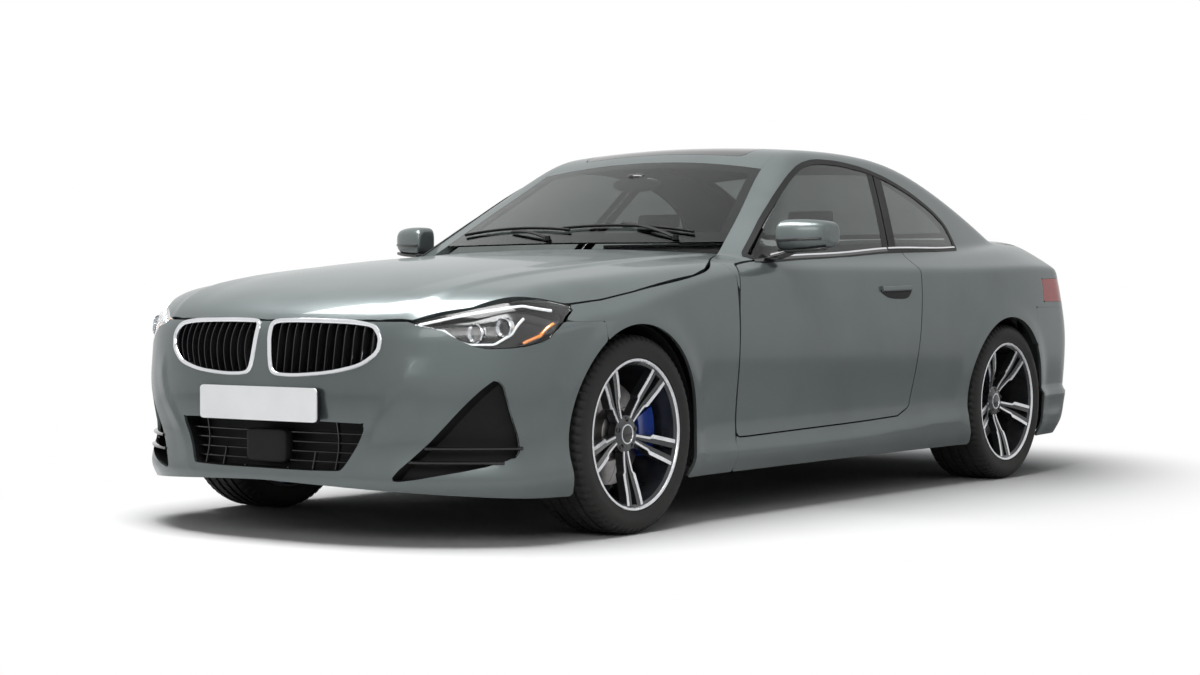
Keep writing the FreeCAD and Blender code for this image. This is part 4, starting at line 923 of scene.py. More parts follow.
def tube_path(points, radius, count, samples):
    """A round bar along a smooth line through a few points."""
    p = np.array(points, float)
    t = way_along(p)
    at = np.linspace(0, t[-1], samples)
    line = np.stack([spline(*zip(t, p[:, k]))(at) for k in range(3)], 1)
    a = np.linspace(0, 2 * np.pi, count, endpoint=False)
    ahead = np.gradient(line, axis=0)
    upright = np.abs(ahead[:, 2]).max() >= np.abs(ahead).max() * 0.9
    side = np.cross(ahead, BACK if upright else UP)
    side /= np.linalg.norm(side, axis=1, keepdims=True)
    up = np.cross(side, ahead)
    up /= np.linalg.norm(up, axis=1, keepdims=True)
    turn = side[:, None] * np.cos(a)[None, :, None] + up[:, None] * np.sin(a)[None, :, None]
    return facing_out(capped(line[:, None] + radius * turn))


def turned(profile, count, relief=None, at=(0, 0, 0), axis=0):
    """A closed profile of (along, radius) turned round an axis: across the car, or along it for axis 1.

    relief(along, radius, angle) may move the surface outwards.
    """
    profile = np.asarray(profile, float)
    angle = np.linspace(0, 2 * np.pi, count, endpoint=False)
    along, a = np.meshgrid(profile[:, 0], angle)
    radius = np.broadcast_to(profile[:, 1], a.shape)
    if relief is not None:
        radius = radius + relief(along, radius, a)
    rings = np.roll(np.stack([along, radius * np.sin(a), radius * np.cos(a)], -1), axis, -1)
    return facing_out(grid_shell(rings + np.asarray(at, float), True, True))


def block_shell(low, high, soft, count=14, power=5.0):
    """A soft-cornered block: a superellipsoid between two corners, its power set by the softness."""
    low, high = np.asarray(low, float), np.asarray(high, float)
    u = np.linspace(-np.pi / 2, np.pi / 2, count)
    v = np.linspace(-np.pi, np.pi, count * 2, endpoint=False)
    size = (high - low) / 2
    p = 2 / max(2.2, min(40.0, power * size.min() / soft / 2))
    lift, turn = np.meshgrid(u, v, indexing="ij")
    flat = bent(np.cos(lift), p)
    shape = np.stack([flat * bent(np.cos(turn), p), flat * bent(np.sin(turn), p), bent(np.sin(lift), p)], -1)
    return facing_out(capped(shape[1:-1] * size + (low + high) / 2))


def tilted(shell, about, degrees):
    """A shell turned about the line across the car through a point."""
    points, quads, tris = shell
    a = math.radians(degrees)
    c, s = math.cos(a), math.sin(a)
    x, y, z = (points - about).T
    return np.stack([x, y * c - z * s, y * s + z * c], 1) + about, quads, tris


def straight_panel(us, vs, locate, level, way, depth):
    """A plate cut from a surface, with its wall standing straight back from one direction."""
    points, quads, tris = trimmed(us, vs, locate, level)
    return walled(points, quads, tris, np.tile(way, (len(points), 1)), depth)


def sunk_panel(line, depth, margin):
    """The nose's skin inside an outline of the front view, moved straight back."""
    pitch = 8.0
    low, high = line.min(0) - pitch, line.max(0) + pitch
    return straight_panel(steps(low[0], high[0], pitch), steps(low[1], high[1], pitch),
                          lambda x, z: front_point(x, z, depth),
                          lambda p: inside(line, p[..., 0], p[..., 2]) + margin, AHEAD, 3.0)


def collar(line, near, far):
    """The wall of an opening: from the nose's skin back along its outline."""
    wall = 2.5
    p = np.repeat(line, 2, 0)
    p[1::2] = (line + np.roll(line, -1, 0)) / 2
    skin = front_point(p[:, 0], p[:, 1])
    tangent = np.roll(p, -1, 0) - np.roll(p, 1, 0)
    tangent /= np.linalg.norm(tangent, axis=1, keepdims=True) + 1e-9
    turn = 1 if inside(line, p[:1, 0] + tangent[:1, 1], p[:1, 1] - tangent[:1, 0])[0] < 0 else -1
    aside = np.stack([tangent[:, 1], tangent[:, 1] * 0, -tangent[:, 0]], 1) * turn * wall
    mouth, end = skin + (0.0, near, 0.0), skin + (0.0, far, 0.0)
    return facing_out(grid_shell(np.stack([mouth, end, end + aside, mouth + aside], 1), True, True))


def chain(line, upper):
    """The upper or lower edge of an outline as a height for each x."""
    bins = np.linspace(line[:, 0].min(), line[:, 0].max(), 60)
    dense = np.concatenate([line + (np.roll(line, -1, 0) - line) * k for k in np.linspace(0, 1, 20)])
    slot = np.clip(np.digitize(dense[:, 0], bins) - 1, 0, 58)
    best = np.full(59, -1e9 if upper else 1e9)
    (np.maximum if upper else np.minimum).at(best, slot, dense[:, 1])
    return lambda x: np.interp(x, (bins[1:] + bins[:-1]) / 2, best)


def kidney_slats():
    """Upright blades that bow outwards, as tall as the grille at their place."""
    top, low = chain(KIDNEY, True), chain(KIDNEY, False)
    shells = []
    t = np.linspace(0, 1, 14)
    for x in np.arange(66, 452, 33.0):
        bow = x + 9 * np.sin(np.pi * t) + 5 * (t - 0.5)
        z = low(x) + 1 + (top(x) - low(x) - 2) * t
        shells.append(bar(front_point(bow, z, 30 - 10 * np.cos(np.pi * (t - 0.5))), 7, 36, AHEAD))
    return mirror(join(*shells))


def bars_between(line, heights, depth, high=7.0, thick=16.0, limit=None):
    """Level bars across an opening at given heights."""
    shells = []
    for z in heights:
        x = np.linspace(line[:, 0].min(), line[:, 0].max(), 400)
        within = x[inside(line, x, x * 0 + z) > -1]
        if limit:
            within = within[(within > limit[0]) & (within < limit[1])]
        path = front_point(np.linspace(within[0], within[-1], 30), np.full(30, float(z)), depth)
        shells.append(bar(path, high, thick, AHEAD))
    return join(*shells)


def uprights_between(line, places, depth):
    """Upright ribs across an opening at given places."""
    top, low = chain(line, True), chain(line, False)
    shells = []
    for x in places:
        z = np.linspace(float(low(x)), float(top(x)), 14)
        shells.append(bar(front_point(z * 0 + x, z, depth), 6, 14, AHEAD))
    return join(*shells)


def ribbon(points, wide, thick, depth):
    """A slim bar behind the nose's skin, through points of the front view."""
    p = np.array(points, float)
    t = way_along(p)
    at = np.linspace(0, t[-1], 40)
    path = front_point(np.interp(at, t, p[:, 0]), np.interp(at, t, p[:, 1]), depth)
    return bar(path, wide, thick, AHEAD, power=4.0)


def lens_unit(x, z, radius, depth):
    """A round projector lens in its short tube, facing forward."""
    at = front_point(np.array([x]), np.array([z]), depth)[0]
    tube = [(0.0, radius * 1.15), (-14, radius * 1.2), (-16, radius * 1.1), (-4, radius * 0.98),
            (6, radius * 0.98), (6, radius * 1.15)]
    r = np.linspace(0.4, radius, 8)
    dome = [(-9 * math.sqrt(max(0, 1 - (k / radius) ** 2)) - 2, k) for k in r]
    return turned(tube, 40, at=at, axis=1), turned(dome + [(4, radius), (4, 0.4)], 40, at=at, axis=1)


def lamp_level(margin, gap):
    """The headlamp's outline, in from its edge by a margin, and ahead of the bonnet by a gap."""
    return lambda p: least(inside(LAMP, p[..., 0], p[..., 2]) - margin,
                           -inside(HOOD, p[..., 0], p[..., 1]) - gap)


def lamp_cover():
    """Clear cover of the headlamp, flush with the skin."""
    return cut_skin(np.radians(steps(24, 64, 0.35)), steps(612, 795, 5), nose_fan, lamp_level(0.5, SHUT), 3)


def lamp_bowl():
    """Dark housing behind the headlamp's cover."""
    return lined((np.radians(steps(24, 64, 0.5)), steps(612, 795, 6), nose_fan), lamp_level(3, SHUT + 2),
                 -42, 3)


def grow_line(line, by):
    """The outline moved out by a distance along its own normals."""
    d = np.roll(line, -1, 0) - np.roll(line, 1, 0)
    d /= np.linalg.norm(d, axis=1, keepdims=True) + 1e-9
    n = np.stack([d[:, 1], -d[:, 0]], 1)
    middle = line.mean(0)
    if ((line - middle) * n).sum() < 0:
        n = -n
    return line + n * by


def dense_line(line, pitch):
    """An outline sampled evenly."""
    p = np.concatenate([line, line[:1]])
    t = way_along(p)
    at = np.linspace(0, t[-1], max(8, int(t[-1] / pitch)), endpoint=False)
    return np.stack([np.interp(at, t, p[:, 0]), np.interp(at, t, p[:, 1])], 1)


def window_trim():
    """Black frame round the side windows, on the side frame's edge."""
    line = dense_line(grow_line(WINDOW, 3.0), 14)
    return sweep(side_skin(line[:, 0], line[:, 1]), strip_section(24, 12, 2.4))


def belt_strip(first, last, drop, wide, lift):
    """A strip along the windows' lower edge between two stations."""
    s = steps(first, last, 16)
    z = belt_line(s) + drop
    return sweep(side_skin(s, z), strip_section(wide, 6, lift), closed=False)


def mirror_ring(t, angle):
    """Outline of the mirror housing at a share of its way outboard, swept back and boxy."""
    swept = 925 + 20 * t + 52 * t ** 2.5
    back = 1036 + 62 * t
    top = 1064 + 3 * np.sin(np.pi * t) - 8 * t ** 3
    low = 950 + 14 * t ** 2
    end = np.clip(1 - np.abs(2 * t - 1) ** 9, 0, 1) ** (1 / 3)
    power = np.where(np.cos(angle) < 0, 2 / 2.6, 2 / 6.0)
    across = bent(np.cos(angle), power)
    up = bent(np.sin(angle), 2 / 3.4)
    s = (swept + back) / 2 + across * (back - swept) / 2 * (0.55 + 0.45 * end)
    z = (top + low) / 2 + up * (top - low) / 2 * (0.35 + 0.65 * end)
    return np.stack([850 + 184 * t, s, z], -1)


def mirror_cap():
    """Body-coloured cap of the left door mirror."""
    t = (1 - np.cos(np.linspace(0, np.pi, 34))) / 2
    angle = np.linspace(0, 2 * np.pi, 56, endpoint=False)
    return facing_out(capped(mirror_ring(*np.meshgrid(t, angle, indexing="ij"))))


def mirror_parts():
    """Cap, black slot with its lower rail and foot, and glass of the left door mirror."""
    t = np.linspace(0.04, 0.90, 30)
    slot = bar(mirror_ring(t, np.full(30, np.pi + 0.16)), 9, 6, AHEAD, power=4.0)
    rail = bar(mirror_ring(t, np.full(30, 1.45 * np.pi)), 58, 14, (0.0, 0.0, -1.0), 12, 4.0)
    glass = block_shell((866, 1064, 964), (1018, 1069, 1048), 12, 14, 4)
    glass[0][:, 1] += (glass[0][:, 0] - 940) * 0.337
    foot = tube_path([(836, 930, 928), (872, 955, 940), (905, 985, 958)], 17, 14, 14)
    fin = block_shell((834, 880, 916), (866, 996, 934), 8, 12, 3)
    return mirror_cap(), join(slot, rail, foot, fin), glass


def handle_parts():
    """Pull flap of the door handle, and a dark sheet on the skin behind it: painted shade of the handle's
    recess.
    """
    along = np.linspace(1668, 1898, 32)
    flap = bar(side_skin(along, 812 + (along - 1668) * 0.02), 22, 16, count=16, power=3.4)
    # Dark sheet just out from the skin where the handle's recess would be: painted shade
    line = rounded([(1655, 800), (1690, 824), (1895, 828), (1912, 806), (1870, 772), (1730, 774)], 2)
    points, quads, tris = cut_skin(steps(1650, 1916, 6), steps(768, 832, 4), side_skin,
                                   lambda p: inside(line, p[..., 1], p[..., 2]), 2)
    return flap, (points + (1.2, 0, 0), quads, tris)


def tail_lamp():
    """Red lens of the left tail lamp, on the skin round the corner of the tail."""
    def level(p):
        return least(inside(TAIL_LAMP, p[..., 0], p[..., 2]) - JOINT, p[..., 1] - TAIL_LAMP_START - 2)

    return cut_skin(np.radians(steps(12, 60, 0.4)), steps(746, 866, 5), tail_fan, level, 30)


def cushion(low, high, face, way, crown, bolster, seams=(), hard=7.0):
    """An upholstered pad: a crowned seating side with bolsters and sewn channels, thin at its soft edge.

    face is the axis of the seating side, way its sign, and seams are shares of the pad's half length.
    """
    low, high = np.asarray(low, float), np.asarray(high, float)
    middle, half = (low + high) / 2, (high - low) / 2
    length = 3 - face
    a, b = np.meshgrid(*(np.sin(np.linspace(-np.pi / 2, np.pi / 2, count)) for count in (38, 30)),
                       indexing="ij")
    edge = np.clip((1 - np.abs(a) ** hard) * (1 - np.abs(b) ** hard), 0, 1) ** (1 / 3)
    aside = np.abs(a) - 0.56
    side = np.clip(aside / 0.14, 0, 1)
    swell = crown * (1 - a ** 2) * (1 - b ** 2) + bolster * side - 5 * np.exp(-(aside / 0.03) ** 2)
    for seam in seams:
        swell = swell - 5 * np.exp(-((b - seam) / 0.04) ** 2) * (1 - side)
    room = 2 * half[face] * (0.03 + 0.97 * edge)
    points = np.zeros(a.shape + (3,))
    points[..., 0] = middle[0] + a * half[0]
    points[..., length] = middle[length] + b * half[length]
    points[..., face] = middle[face] + way * (room / 2 + swell * edge)
    normals = np.zeros((a.size, 3))
    normals[:, face] = way
    flat, quads, tris = grid_shell(points)
    return facing_out(walled(flat, quads, tris, normals, (room + swell * edge).ravel()))


def front_seat():
    """Cushion, back and headrest of the left front seat, the headrest's posts, and the seat's base."""
    base = cushion((150, 1282, 318), (610, 1800, 430), 2, 1, 8, 24, (-0.4, 0.0, 0.4))
    back = cushion((155, 1742, 420), (605, 1858, 1010), 1, -1, 8, 24, (-0.6, -0.3, 0.0, 0.3, 0.6))
    head = cushion((282, 1930, 1012), (478, 2010, 1132), 1, -1, 8, 0, hard=5.0)
    pads = join(base, tilted(back, (380, 1780, 430), -16), tilted(head, (380, 1970, 1070), -8))
    posts = join(*[tube_path([(x, 1962, 970), (x, 1968, 1000), (x, 1974, 1040)], 6, 10, 8)
                   for x in (340, 420)])
    return pads, posts, block_shell((176, 1310, 196), (584, 1800, 325), 20)


def rear_seats():
    """Two rear seats with the narrow panel between them."""
    base = cushion((42, 2236, 300), (486, 2630, 420), 2, 1, 10, 10, (-0.2, 0.35))
    back = tilted(cushion((42, 2592, 398), (486, 2702, 918), 1, -1, 8, 10, (-0.5, 0.0, 0.5)),
                  (260, 2640, 410), -9)
    middle = join(block_shell((-38, 2250, 200), (38, 2640, 408), 14),
                  tilted(block_shell((-38, 2606, 390), (38, 2706, 905), 14), (0, 2640, 410), -9))
    under = block_shell((-486, 2262, 196), (486, 2640, 320), 16)
    return join(mirror(join(base, back)), middle), under


def dash_shell():
    """Dashboard pad: its rounded section carried across the car."""
    section = rounded([(657, 642), (657, 848), (780, 884), (900, 914), (1080, 934), (1134, 926), (1140, 900),
                       (1124, 850), (1112, 760), (1060, 690), (1000, 642)], 2)
    half = 678
    x, s = np.meshgrid(steps(-half, half, 24), section[:, 0], indexing="ij")
    z = np.broadcast_to(section[:, 1], x.shape)
    return facing_out(capped(np.stack([x, s - 10 * (x / half) ** 2, z], -1)))


def dash_details():
    """Wide screen, trim strip and vents on the dashboard."""
    x = np.linspace(-80, 545, 40)
    bend = 1126 + 26 * ((x - 250) / 310) ** 2
    screen = bar(np.stack([x, bend, x * 0 + 934], 1), 104, 9, BACK, 16, 8.0)
    x = steps(-660, 660, 20)
    strip = bar(np.stack([x, x * 0 + 1130, x * 0 + 852], 1), 14, 8, BACK, 12, 5.0)
    vents = [block_shell((a, 1116, z), (b, 1132, z + 7), 3, 10)
             for a, b in ((-120, -10), (-650, -540), (560, 650)) for z in (800, 814, 828)]
    return screen, strip, join(*vents)


def steering_parts():
    """Rim, hub pad, spokes and column of the steering wheel."""
    at = np.array((365.0, 1235.0, 830.0))
    turns = np.linspace(0, 2 * np.pi, 16, endpoint=False)
    rim = turned([(13 * math.cos(t), 176 + 14 * math.sin(t)) for t in turns], 72, at=at, axis=1)
    hub = block_shell(at + (-52, -48, -44), at + (52, 6, 38), 16)
    spokes = join(block_shell(at + (-170, -10, -16), at + (-44, 6, 14), 6),
                  block_shell(at + (44, -10, -16), at + (170, 6, 14), 6),
                  block_shell(at + (-18, -10, -170), at + (18, 4, -40), 6))
    column = tube_path([at + (0, -101, 0), at + (0, -60, 0), at + (0, -30, 0)], 33, 20, 8)
    return rim, hub, spokes, column


def console_parts():
    """Console body, its dark top panel, the selector and the armrest."""
    box = join(block_shell((-91, 1003, 401), (91, 1948, 536), 10),
               tilted(block_shell((-88, 1003, 500), (88, 1180, 636), 10), (0, 1003, 500), -6))
    top = block_shell((-66, 1190, 534), (66, 1540, 544), 4)
    selector = join(block_shell((-16, 1330, 540), (16, 1392, 580), 10),
                    tube_path([(0, 1440, 543), (0, 1440, 552), (0, 1440, 560)], 22, 20, 6))
    rest = cushion((-76, 1560, 512), (76, 1936, 566), 2, 1, 6, 0, hard=6.0)
    return box, top, selector, rest


def door_trim():
    """Inner trim of the left door, with its armrest and pocket in one moulding."""
    def locate(s, z):
        return side_skin(s, z) - (TRIM_DEPTH, 0.0, 0.0)

    points, quads, tris = trimmed(steps(650, 2030, 16), steps(290, 975, 12), locate,
                                  lambda p: inside(DOOR, p[..., 1], p[..., 2]) - 13)
    s, z = points[:, 1], points[:, 2]
    armrest = 26 * ridge(z, 610, 700, 26) * ridge(s, 930, 1860, 90)
    pocket = 20 * ridge(z, 310, 440, 20) * ridge(s, 860, 1700, 60)
    depth = 30 + armrest + pocket + 8 * ridge(z, 840, 975, 40)
    return walled(points, quads, tris, np.tile(OUT, (len(points), 1)), depth)


def door_details():
    """Armrest pad, and the pull and inner handle, of the left door."""
    def rod(places, radius, samples):
        """A round bar through stations, heights and depths inboard of where the trim starts."""
        s, z, deep = np.array(places, float).T
        skin = side_skin(s, z)
        skin[:, 0] -= TRIM_DEPTH + deep
        return tube_path(skin, radius, 10, samples)

    s = np.linspace(1010, 1700, 24)
    inner = side_skin(s, s * 0 + 690) - (TRIM_DEPTH + 50, 0, 0)
    rest = bar(inner, 34, 12, (-1.0, 0.0, 0.2), 14, 4.0)
    pull = rod([(1010, 700, 34), (1040, 745, 58), (1180, 770, 60), (1300, 765, 34)], 9, 24)
    handle = rod([(960, 820, 32), (1000, 820, 42), (1080, 820, 42), (1110, 820, 34)], 8, 16)
    return rest, join(pull, handle)


def lined(skin_grid, level, offset, depth, field=body):
    """A lining or overlay: the form's skin moved along its normal, cut to its own outline."""
    us, vs, locate = skin_grid
    points, quads, tris = trimmed(us, vs, locate, level)
    normals = slope(points, field)
    return walled(points + normals * offset, quads, tris, normals, depth)


def side_lining():
    """Dark trim inside the pillars and rear quarter, above and below the windows' line."""
    def level(p):
        x, s, z = p[..., 0], p[..., 1], p[..., 2]
        return least(z - 300, x - frame_edge(s) + 6, s - 655, 2980 - s, -inside(DOOR, s, z) - 14,
                     -inside(WINDOW, s, z) - 2, arch_room(p, WHEELBASE, ARCH[1] + 12))

    return lined((steps(645, 3000, 20), np.radians(steps(-27.5, 60, 1.3)), quarter_fan), level, -25.5, 4)


def headliner():
    """Roof lining with the opening of the sunroof."""
    return lined((np.linspace(-1, 1, 60), np.linspace(0, 1, 50), ROOF),
                 lambda p: -sunroof_room(p) - 10, -13, 6)


def glass_band(band, first, last, wide_low, wide_high):
    """Black band printed round the inside of a screen."""
    def level(p):
        u = p[..., 0] / frame_edge(p[..., 1])
        return -least(p[..., 1] - first(u) - wide_low, last(u) - wide_high - p[..., 1],
                      frame_edge(p[..., 1]) - 42 - np.abs(p[..., 0]))

    return lined((np.linspace(-1, 1, 90), np.linspace(0, 1, 60), band), level, -5.4, 0.8)


def cowl():
    """Plastic panel between the bonnet's rear edge and the windscreen."""
    def locate(u, v):
        rear_edge = hood_rear(u * 640) + 7
        base = screen_foot(u) - 1
        s = rear_edge + (base - rear_edge) * v
        return top_skin(u * (frame_edge(np.maximum(s, 780)) - 10), s, lower_body, LOW_CORE)

    return lined((np.linspace(-1, 1, 60), np.linspace(0, 1, 8), locate), whole, -7, 5)


def wiper(pivot, tip, blade_first, blade_last):
    """One wiper: an arm from its pivot to the middle of a blade that lies along the glass."""
    def on_glass(x, s, lift):
        """Points of the plan raised off the windscreen."""
        p = top_skin(x, s)
        return p + slope(p) * lift

    t = np.linspace(0, 1, 30)
    blade = on_glass(blade_first[0] + (blade_last[0] - blade_first[0]) * t,
                     blade_first[1] + (blade_last[1] - blade_first[1]) * t + 26 * t * (1 - t), 7)
    t = t[::2]
    arm = on_glass(pivot[0] + (tip[0] - pivot[0]) * t, pivot[1] + (tip[1] - pivot[1]) * t, 0)
    arm[:, 2] += 6 + 8 * np.sin(np.pi * t)
    return join(bar(blade, 9, 11), bar(arm, 15, 8),
                tube_path([arm[0] + (0, 0, k) for k in (-8, 0, 9)], 12, 16, 6))


def rear_details():
    """Lower insert of the rear bumper, reflectors and exhaust tips."""
    line = rounded([(-640, 170), (-610, 272), (-520, 318), (520, 318), (610, 272), (640, 170)], 1)
    insert = lined((np.radians(steps(-50, 50, 0.6)), steps(160, 360, 6), tail_fan),
                   lambda p: least(inside(line, p[..., 0], p[..., 2]), p[..., 2] - 168), 2.0, 5)
    reflector = bar(rear_point(np.linspace(600, 760, 16), np.linspace(352, 360, 16)) + (0, 1.0, 0), 16, 6,
                    power=4.0)
    at = rear_point(np.array([455.0]), np.array([236.0]))[0]
    pipe = turned([(-150, 40), (0, 46), (10, 46), (10, 41), (-6, 38), (-150, 34)], 48,
                  at=at + (0, 22, 0), axis=1)
    return insert, mirror(reflector), mirror(pipe)


CAD_FINISHES = {"calipers_rear": "blue", "caliper_front_left": "blue", "caliper_front_right": "blue",
                "knuckle_left": "alloy", "knuckle_right": "alloy", "front_axle": "steel",
                "rear_axle": "steel", "front_structure": "steel", "wheel_housings": "satin",
                "floor_pan": "carpet", "firewall": "soft", "boot_tub": "carpet", "engine": "alloy",
                "radiator": "steel"}


class CoupeSettings(bpy.types.PropertyGroup):
    """Colours and sizes that a user of the coupe would change."""

    paint: bpy.props.FloatVectorProperty(name="Paint", description="Colour of the body panels",
                                         subtype="COLOR", size=3, min=0, max=1,
                                         default=(0.096, 0.111, 0.111))
    tread: bpy.props.FloatProperty(name="Tread depth", description="Depth of the grooves in the tyres",
                                   subtype="DISTANCE", unit="LENGTH", default=0.007)
    # The floor's grey shows only in the patch round the car, where it stands as a painted shadow
    floor: bpy.props.FloatVectorProperty(name="Floor", description="Colour of the studio floor",
                                         subtype="COLOR", size=3, min=0, max=1, default=(0.52, 0.52, 0.52))


class CoupeOperator:
    """What the coupe's operators share."""

    bl_options = {"REGISTER", "UNDO"}


class COUPE_OT_panels(CoupeOperator, bpy.types.Operator):
    """Painted body panels, cut from the outer form along their shut lines"""

    bl_idname = "coupe.panels"
    bl_label = "Body panels"

    def execute(self, context):
        make("bonnet_skin", bonnet_shell(), "paint", "bonnet", "bonnet")
        make("wing_skins", mirror(wing_shell()), "paint", "shell", "wings")
        make("front_bumper_skin", front_bumper_shell(), "paint", "shell", "front_bumper")
        make("side_frame_skins", mirror(side_frame_shell()), "paint", "shell", "side_frames")
        make_pairs(("door_skin", door_shell(), "paint", "door"))
        make("rear_bumper_skin", rear_bumper_shell(), "paint", "shell", "rear_bumper")
        make("boot_lid_skin", boot_lid_shell(), "paint", "boot_lid", "boot_lid")
        roof = cut_skin(np.linspace(-1, 1, 72), np.linspace(0, 1, 78), ROOF,
                        lambda p: -sunroof_room(p) - 2, 12)
        make("roof_skin", roof, "paint", "shell", "roof_panel")
        return {"FINISHED"}


class COUPE_OT_glass(CoupeOperator, bpy.types.Operator):
    """Windscreen, side glass, rear window, sunroof and the window pillars' covers"""

    bl_idname = "coupe.glass"
    bl_label = "Glass"

    def execute(self, context):
        across, along = np.linspace(-1, 1, 66), np.linspace(0, 1, 42)
        screen = glass_skin(across, along, WINDSCREEN, whole)
        make("windscreen_glass", screen, "glass", "shell", "windscreen")
        window = glass_skin(across, along, REAR_WINDOW, whole)
        make("rear_window_glass", window, "glass", "shell", "rear_window")
        make("sunroof_glass", glass_skin(across, along, ROOF, sunroof_room), "gloss", "shell", "sunroof")
        s, z = steps(800, 2630, 12), steps(900, 1330, 10)
        front = glass_skin(s, z, band_skin, side_glass_level(True), greenhouse)
        make_pairs(("door_glass_pane", front, "dark_glass", "door_glass"))
        quarter = glass_skin(s, z, band_skin, side_glass_level(False), greenhouse)
        make("quarter_glass_panes", mirror(quarter), "dark_glass", "shell", "quarter_glasses")
        make_pairs(("pillar_cover_door", pillar_cover(True), "satin"))
        make("pillar_covers", mirror(pillar_cover(False)), "satin")
        return {"FINISHED"}


def spoke_bands(across_of, breadth_of, face_of, wall):
    """Bands along each side of five spoke pairs.

    A band's middle stands aside from the pair's axis, and both change along the radius.
    """
    pitch = 3.5

    def locate(along, across):
        return np.stack([face_of(np.hypot(along, across)), across, along], -1)

    def level(p):
        along, across = p[..., 2], np.abs(p[..., 1])
        return least(breadth_of(along) - np.abs(across - across_of(along)), 240 - np.hypot(along, across))

    shell = straight_panel(steps(34, 243, pitch), steps(-72, 72, pitch), locate, level, OUT, wall)
    return join(*(tilted(shell, (0, 0, 0), SPOKE_TURN * (k + 0.5)) for k in range(SPOKE_PAIRS)))


def broken(*points):
    """A line of straight lengths through points."""
    at, value = zip(*points)
    return lambda x: np.interp(x, at, value)


def rim_shells(width):
    """Dark spokes and barrel, the bright faces over them, and the bolts, about the wheel's centre."""
    half = (width - RIM_INSET) / 2
    face = spline((30, 60), (60, 62), (140, half - 32), (200, half - 16), (236, half - 9), (250, half - 7))
    dark_mid = broken((30, 8), (60, 8.5), (124, 15), (132, 20), (238, 30))
    dark_wide = broken((30, 10), (60, 9), (124, 9.5), (132, 14), (238, 15))
    dark = spoke_bands(dark_mid, dark_wide, lambda r: face(r) - 2.0, 30)
    edge_mid = broken((30, 8), (60, 11), (124, 20), (132, 28), (238, 39))
    edge_wide = broken((30, 4.5), (60, 3.6), (124, 3.8), (132, 6.6), (238, 6.2))
    bright = spoke_bands(edge_mid, edge_wide, face, 3.0)
    flange = 251.0
    outer = [(-half, flange), (-half + 8, flange), (-half + 12, 240), (-half + 45, 239), (-half + 60, 233),
             (half - 50, 233), (half - 38, 240), (half - 12, 240), (half - 8, flange), (half - 1.5, flange)]
    inner = [(half - 1.5, flange - 7), (half - 14, 232), (half - 40, 231), (-half + 50, 226),
             (-half + 14, 233), (-half, flange - 6)]
    barrel = turned(outer + inner, 120)
    hub = turned([(20, 25), (20, 50), (34, 62), (60, 62), (66, 50), (66, 25)], 60)
    lip = turned([(half - 9, 250.9), (half - 1, 251.0), (half, 249), (half - 1, 243), (half - 5, 240),
                  (half - 8, 241)], 120)
    ring = turned([(64, 27), (64, 34), (68.5, 33), (68.5, 29)], 60)
    bolts = [turned([(56, 3), (56, 9.5), (66, 9), (66, 3)], 12, at=(0, 50 * math.sin(a), 50 * math.cos(a)))
             for a in np.radians(SPOKE_TURN * np.arange(1, SPOKE_PAIRS + 1))]
    return join(dark, barrel, hub), join(bright, lip, ring), join(*bolts)


def cap_shell():
    """Plain domed cap in the middle of the wheel."""
    dome = [(70 - 2.5 * (r / 27.5) ** 2, r) for r in np.linspace(0.5, 27.5, 8)]
    return turned(dome + [(62, 27.5), (62, 0.5)], 48)


def tyre_shell(width, depth):
    """Tyre: bulging side walls, four grooves round it and short grooves across its shoulders."""
    half, tyre_half = (width - RIM_INSET) / 2, width / 2
    side = [(half - 12.5, 240.5), (half - 7, 252.5), (half + 1, 254), (tyre_half - 3, 266), (tyre_half, 281),
            (tyre_half - 0.5, 296), (tyre_half - 4, 309), (tyre_half - 10, 319), (tyre_half - 19, 326),
            (tyre_half - 32, 329.6)]
    tread = []
    for middle in (0.52, 0.17):
        x = tyre_half * middle
        for aside, down in ((7.5, 0), (6, depth), (-6, depth), (-7.5, 0)):
            tread.append((x + aside, 330.9 - down - 1.5 * middle ** 2))
    right = side + tread
    left = [(-x, r) for x, r in reversed(right)]
    inner = [(-tyre_half + 12, 262), (-tyre_half + 14, 300), (-tyre_half + 40, 318), (tyre_half - 40, 318),
             (tyre_half - 14, 300), (tyre_half - 12, 262)]

    def relief(across, radius, angle):
        """Grooves across the shoulders, seventy round the tyre, and shallower ones in the middle."""
        wave = (angle / (2 * np.pi) * 70 + np.abs(across) / 90) % 1
        shoulder_zone = np.clip((np.abs(across) - tyre_half * 0.62) / 6, 0, 1) * (radius > 318)
        middle_zone = (np.abs(across) < tyre_half * 0.4) * (radius > 329) * 0.45
        return -depth * (wave < 0.24) * np.maximum(shoulder_zone, middle_zone)

    return turned(right + left + inner, 280, relief)


def disc_shell():
    """Brake disc with its hat, and the vents round its edge."""
    def relief(across, radius, angle):
        """Thirty-six pockets in the edge between the disc's two faces."""
        return -14.0 * ((angle * 36 / (2 * np.pi)) % 1 < 0.35) * ((radius > 165) & (np.abs(across + 20) < 9))

    ring = [(-35, 95), (-35, 130), (-35, 171), (-33.5, 172), (-28, 172), (-27, 171), (-13, 171), (-12, 172),
            (-6.5, 172), (-5, 171), (-5, 130), (-5, 92), (23, 84), (24.5, 80), (24.5, 24), (16, 24),
            (16, 74), (-33, 80)]
    return turned(ring, 144, relief)


def disc_slots():
    """Dark curved strips on the disc's outer face: painted shade of its slots, which are not cut into the
    disc.
    """
    t = np.linspace(0, 1, 8)
    r = 104 + 58 * t
    shells = []
    for k in range(9):
        a = np.radians(40 * k + 22 * t)
        path = np.stack([t * 0 - 4.9, r * np.sin(a), r * np.cos(a)], 1)
        # Each strip stands on the face as painted shade of a slot
        shells.append(bar(path, 2.6, 0.6, OUT, 6, 2.6))
    return join(*shells)


def at_wheel(shell, side, x, station):
    """Puts a wheel piece at its axle; the right one is turned about so its face looks outboard."""
    points, quads, tris = shell
    return points * (side, side, 1) + (side * x, station, AXLE), quads, tris


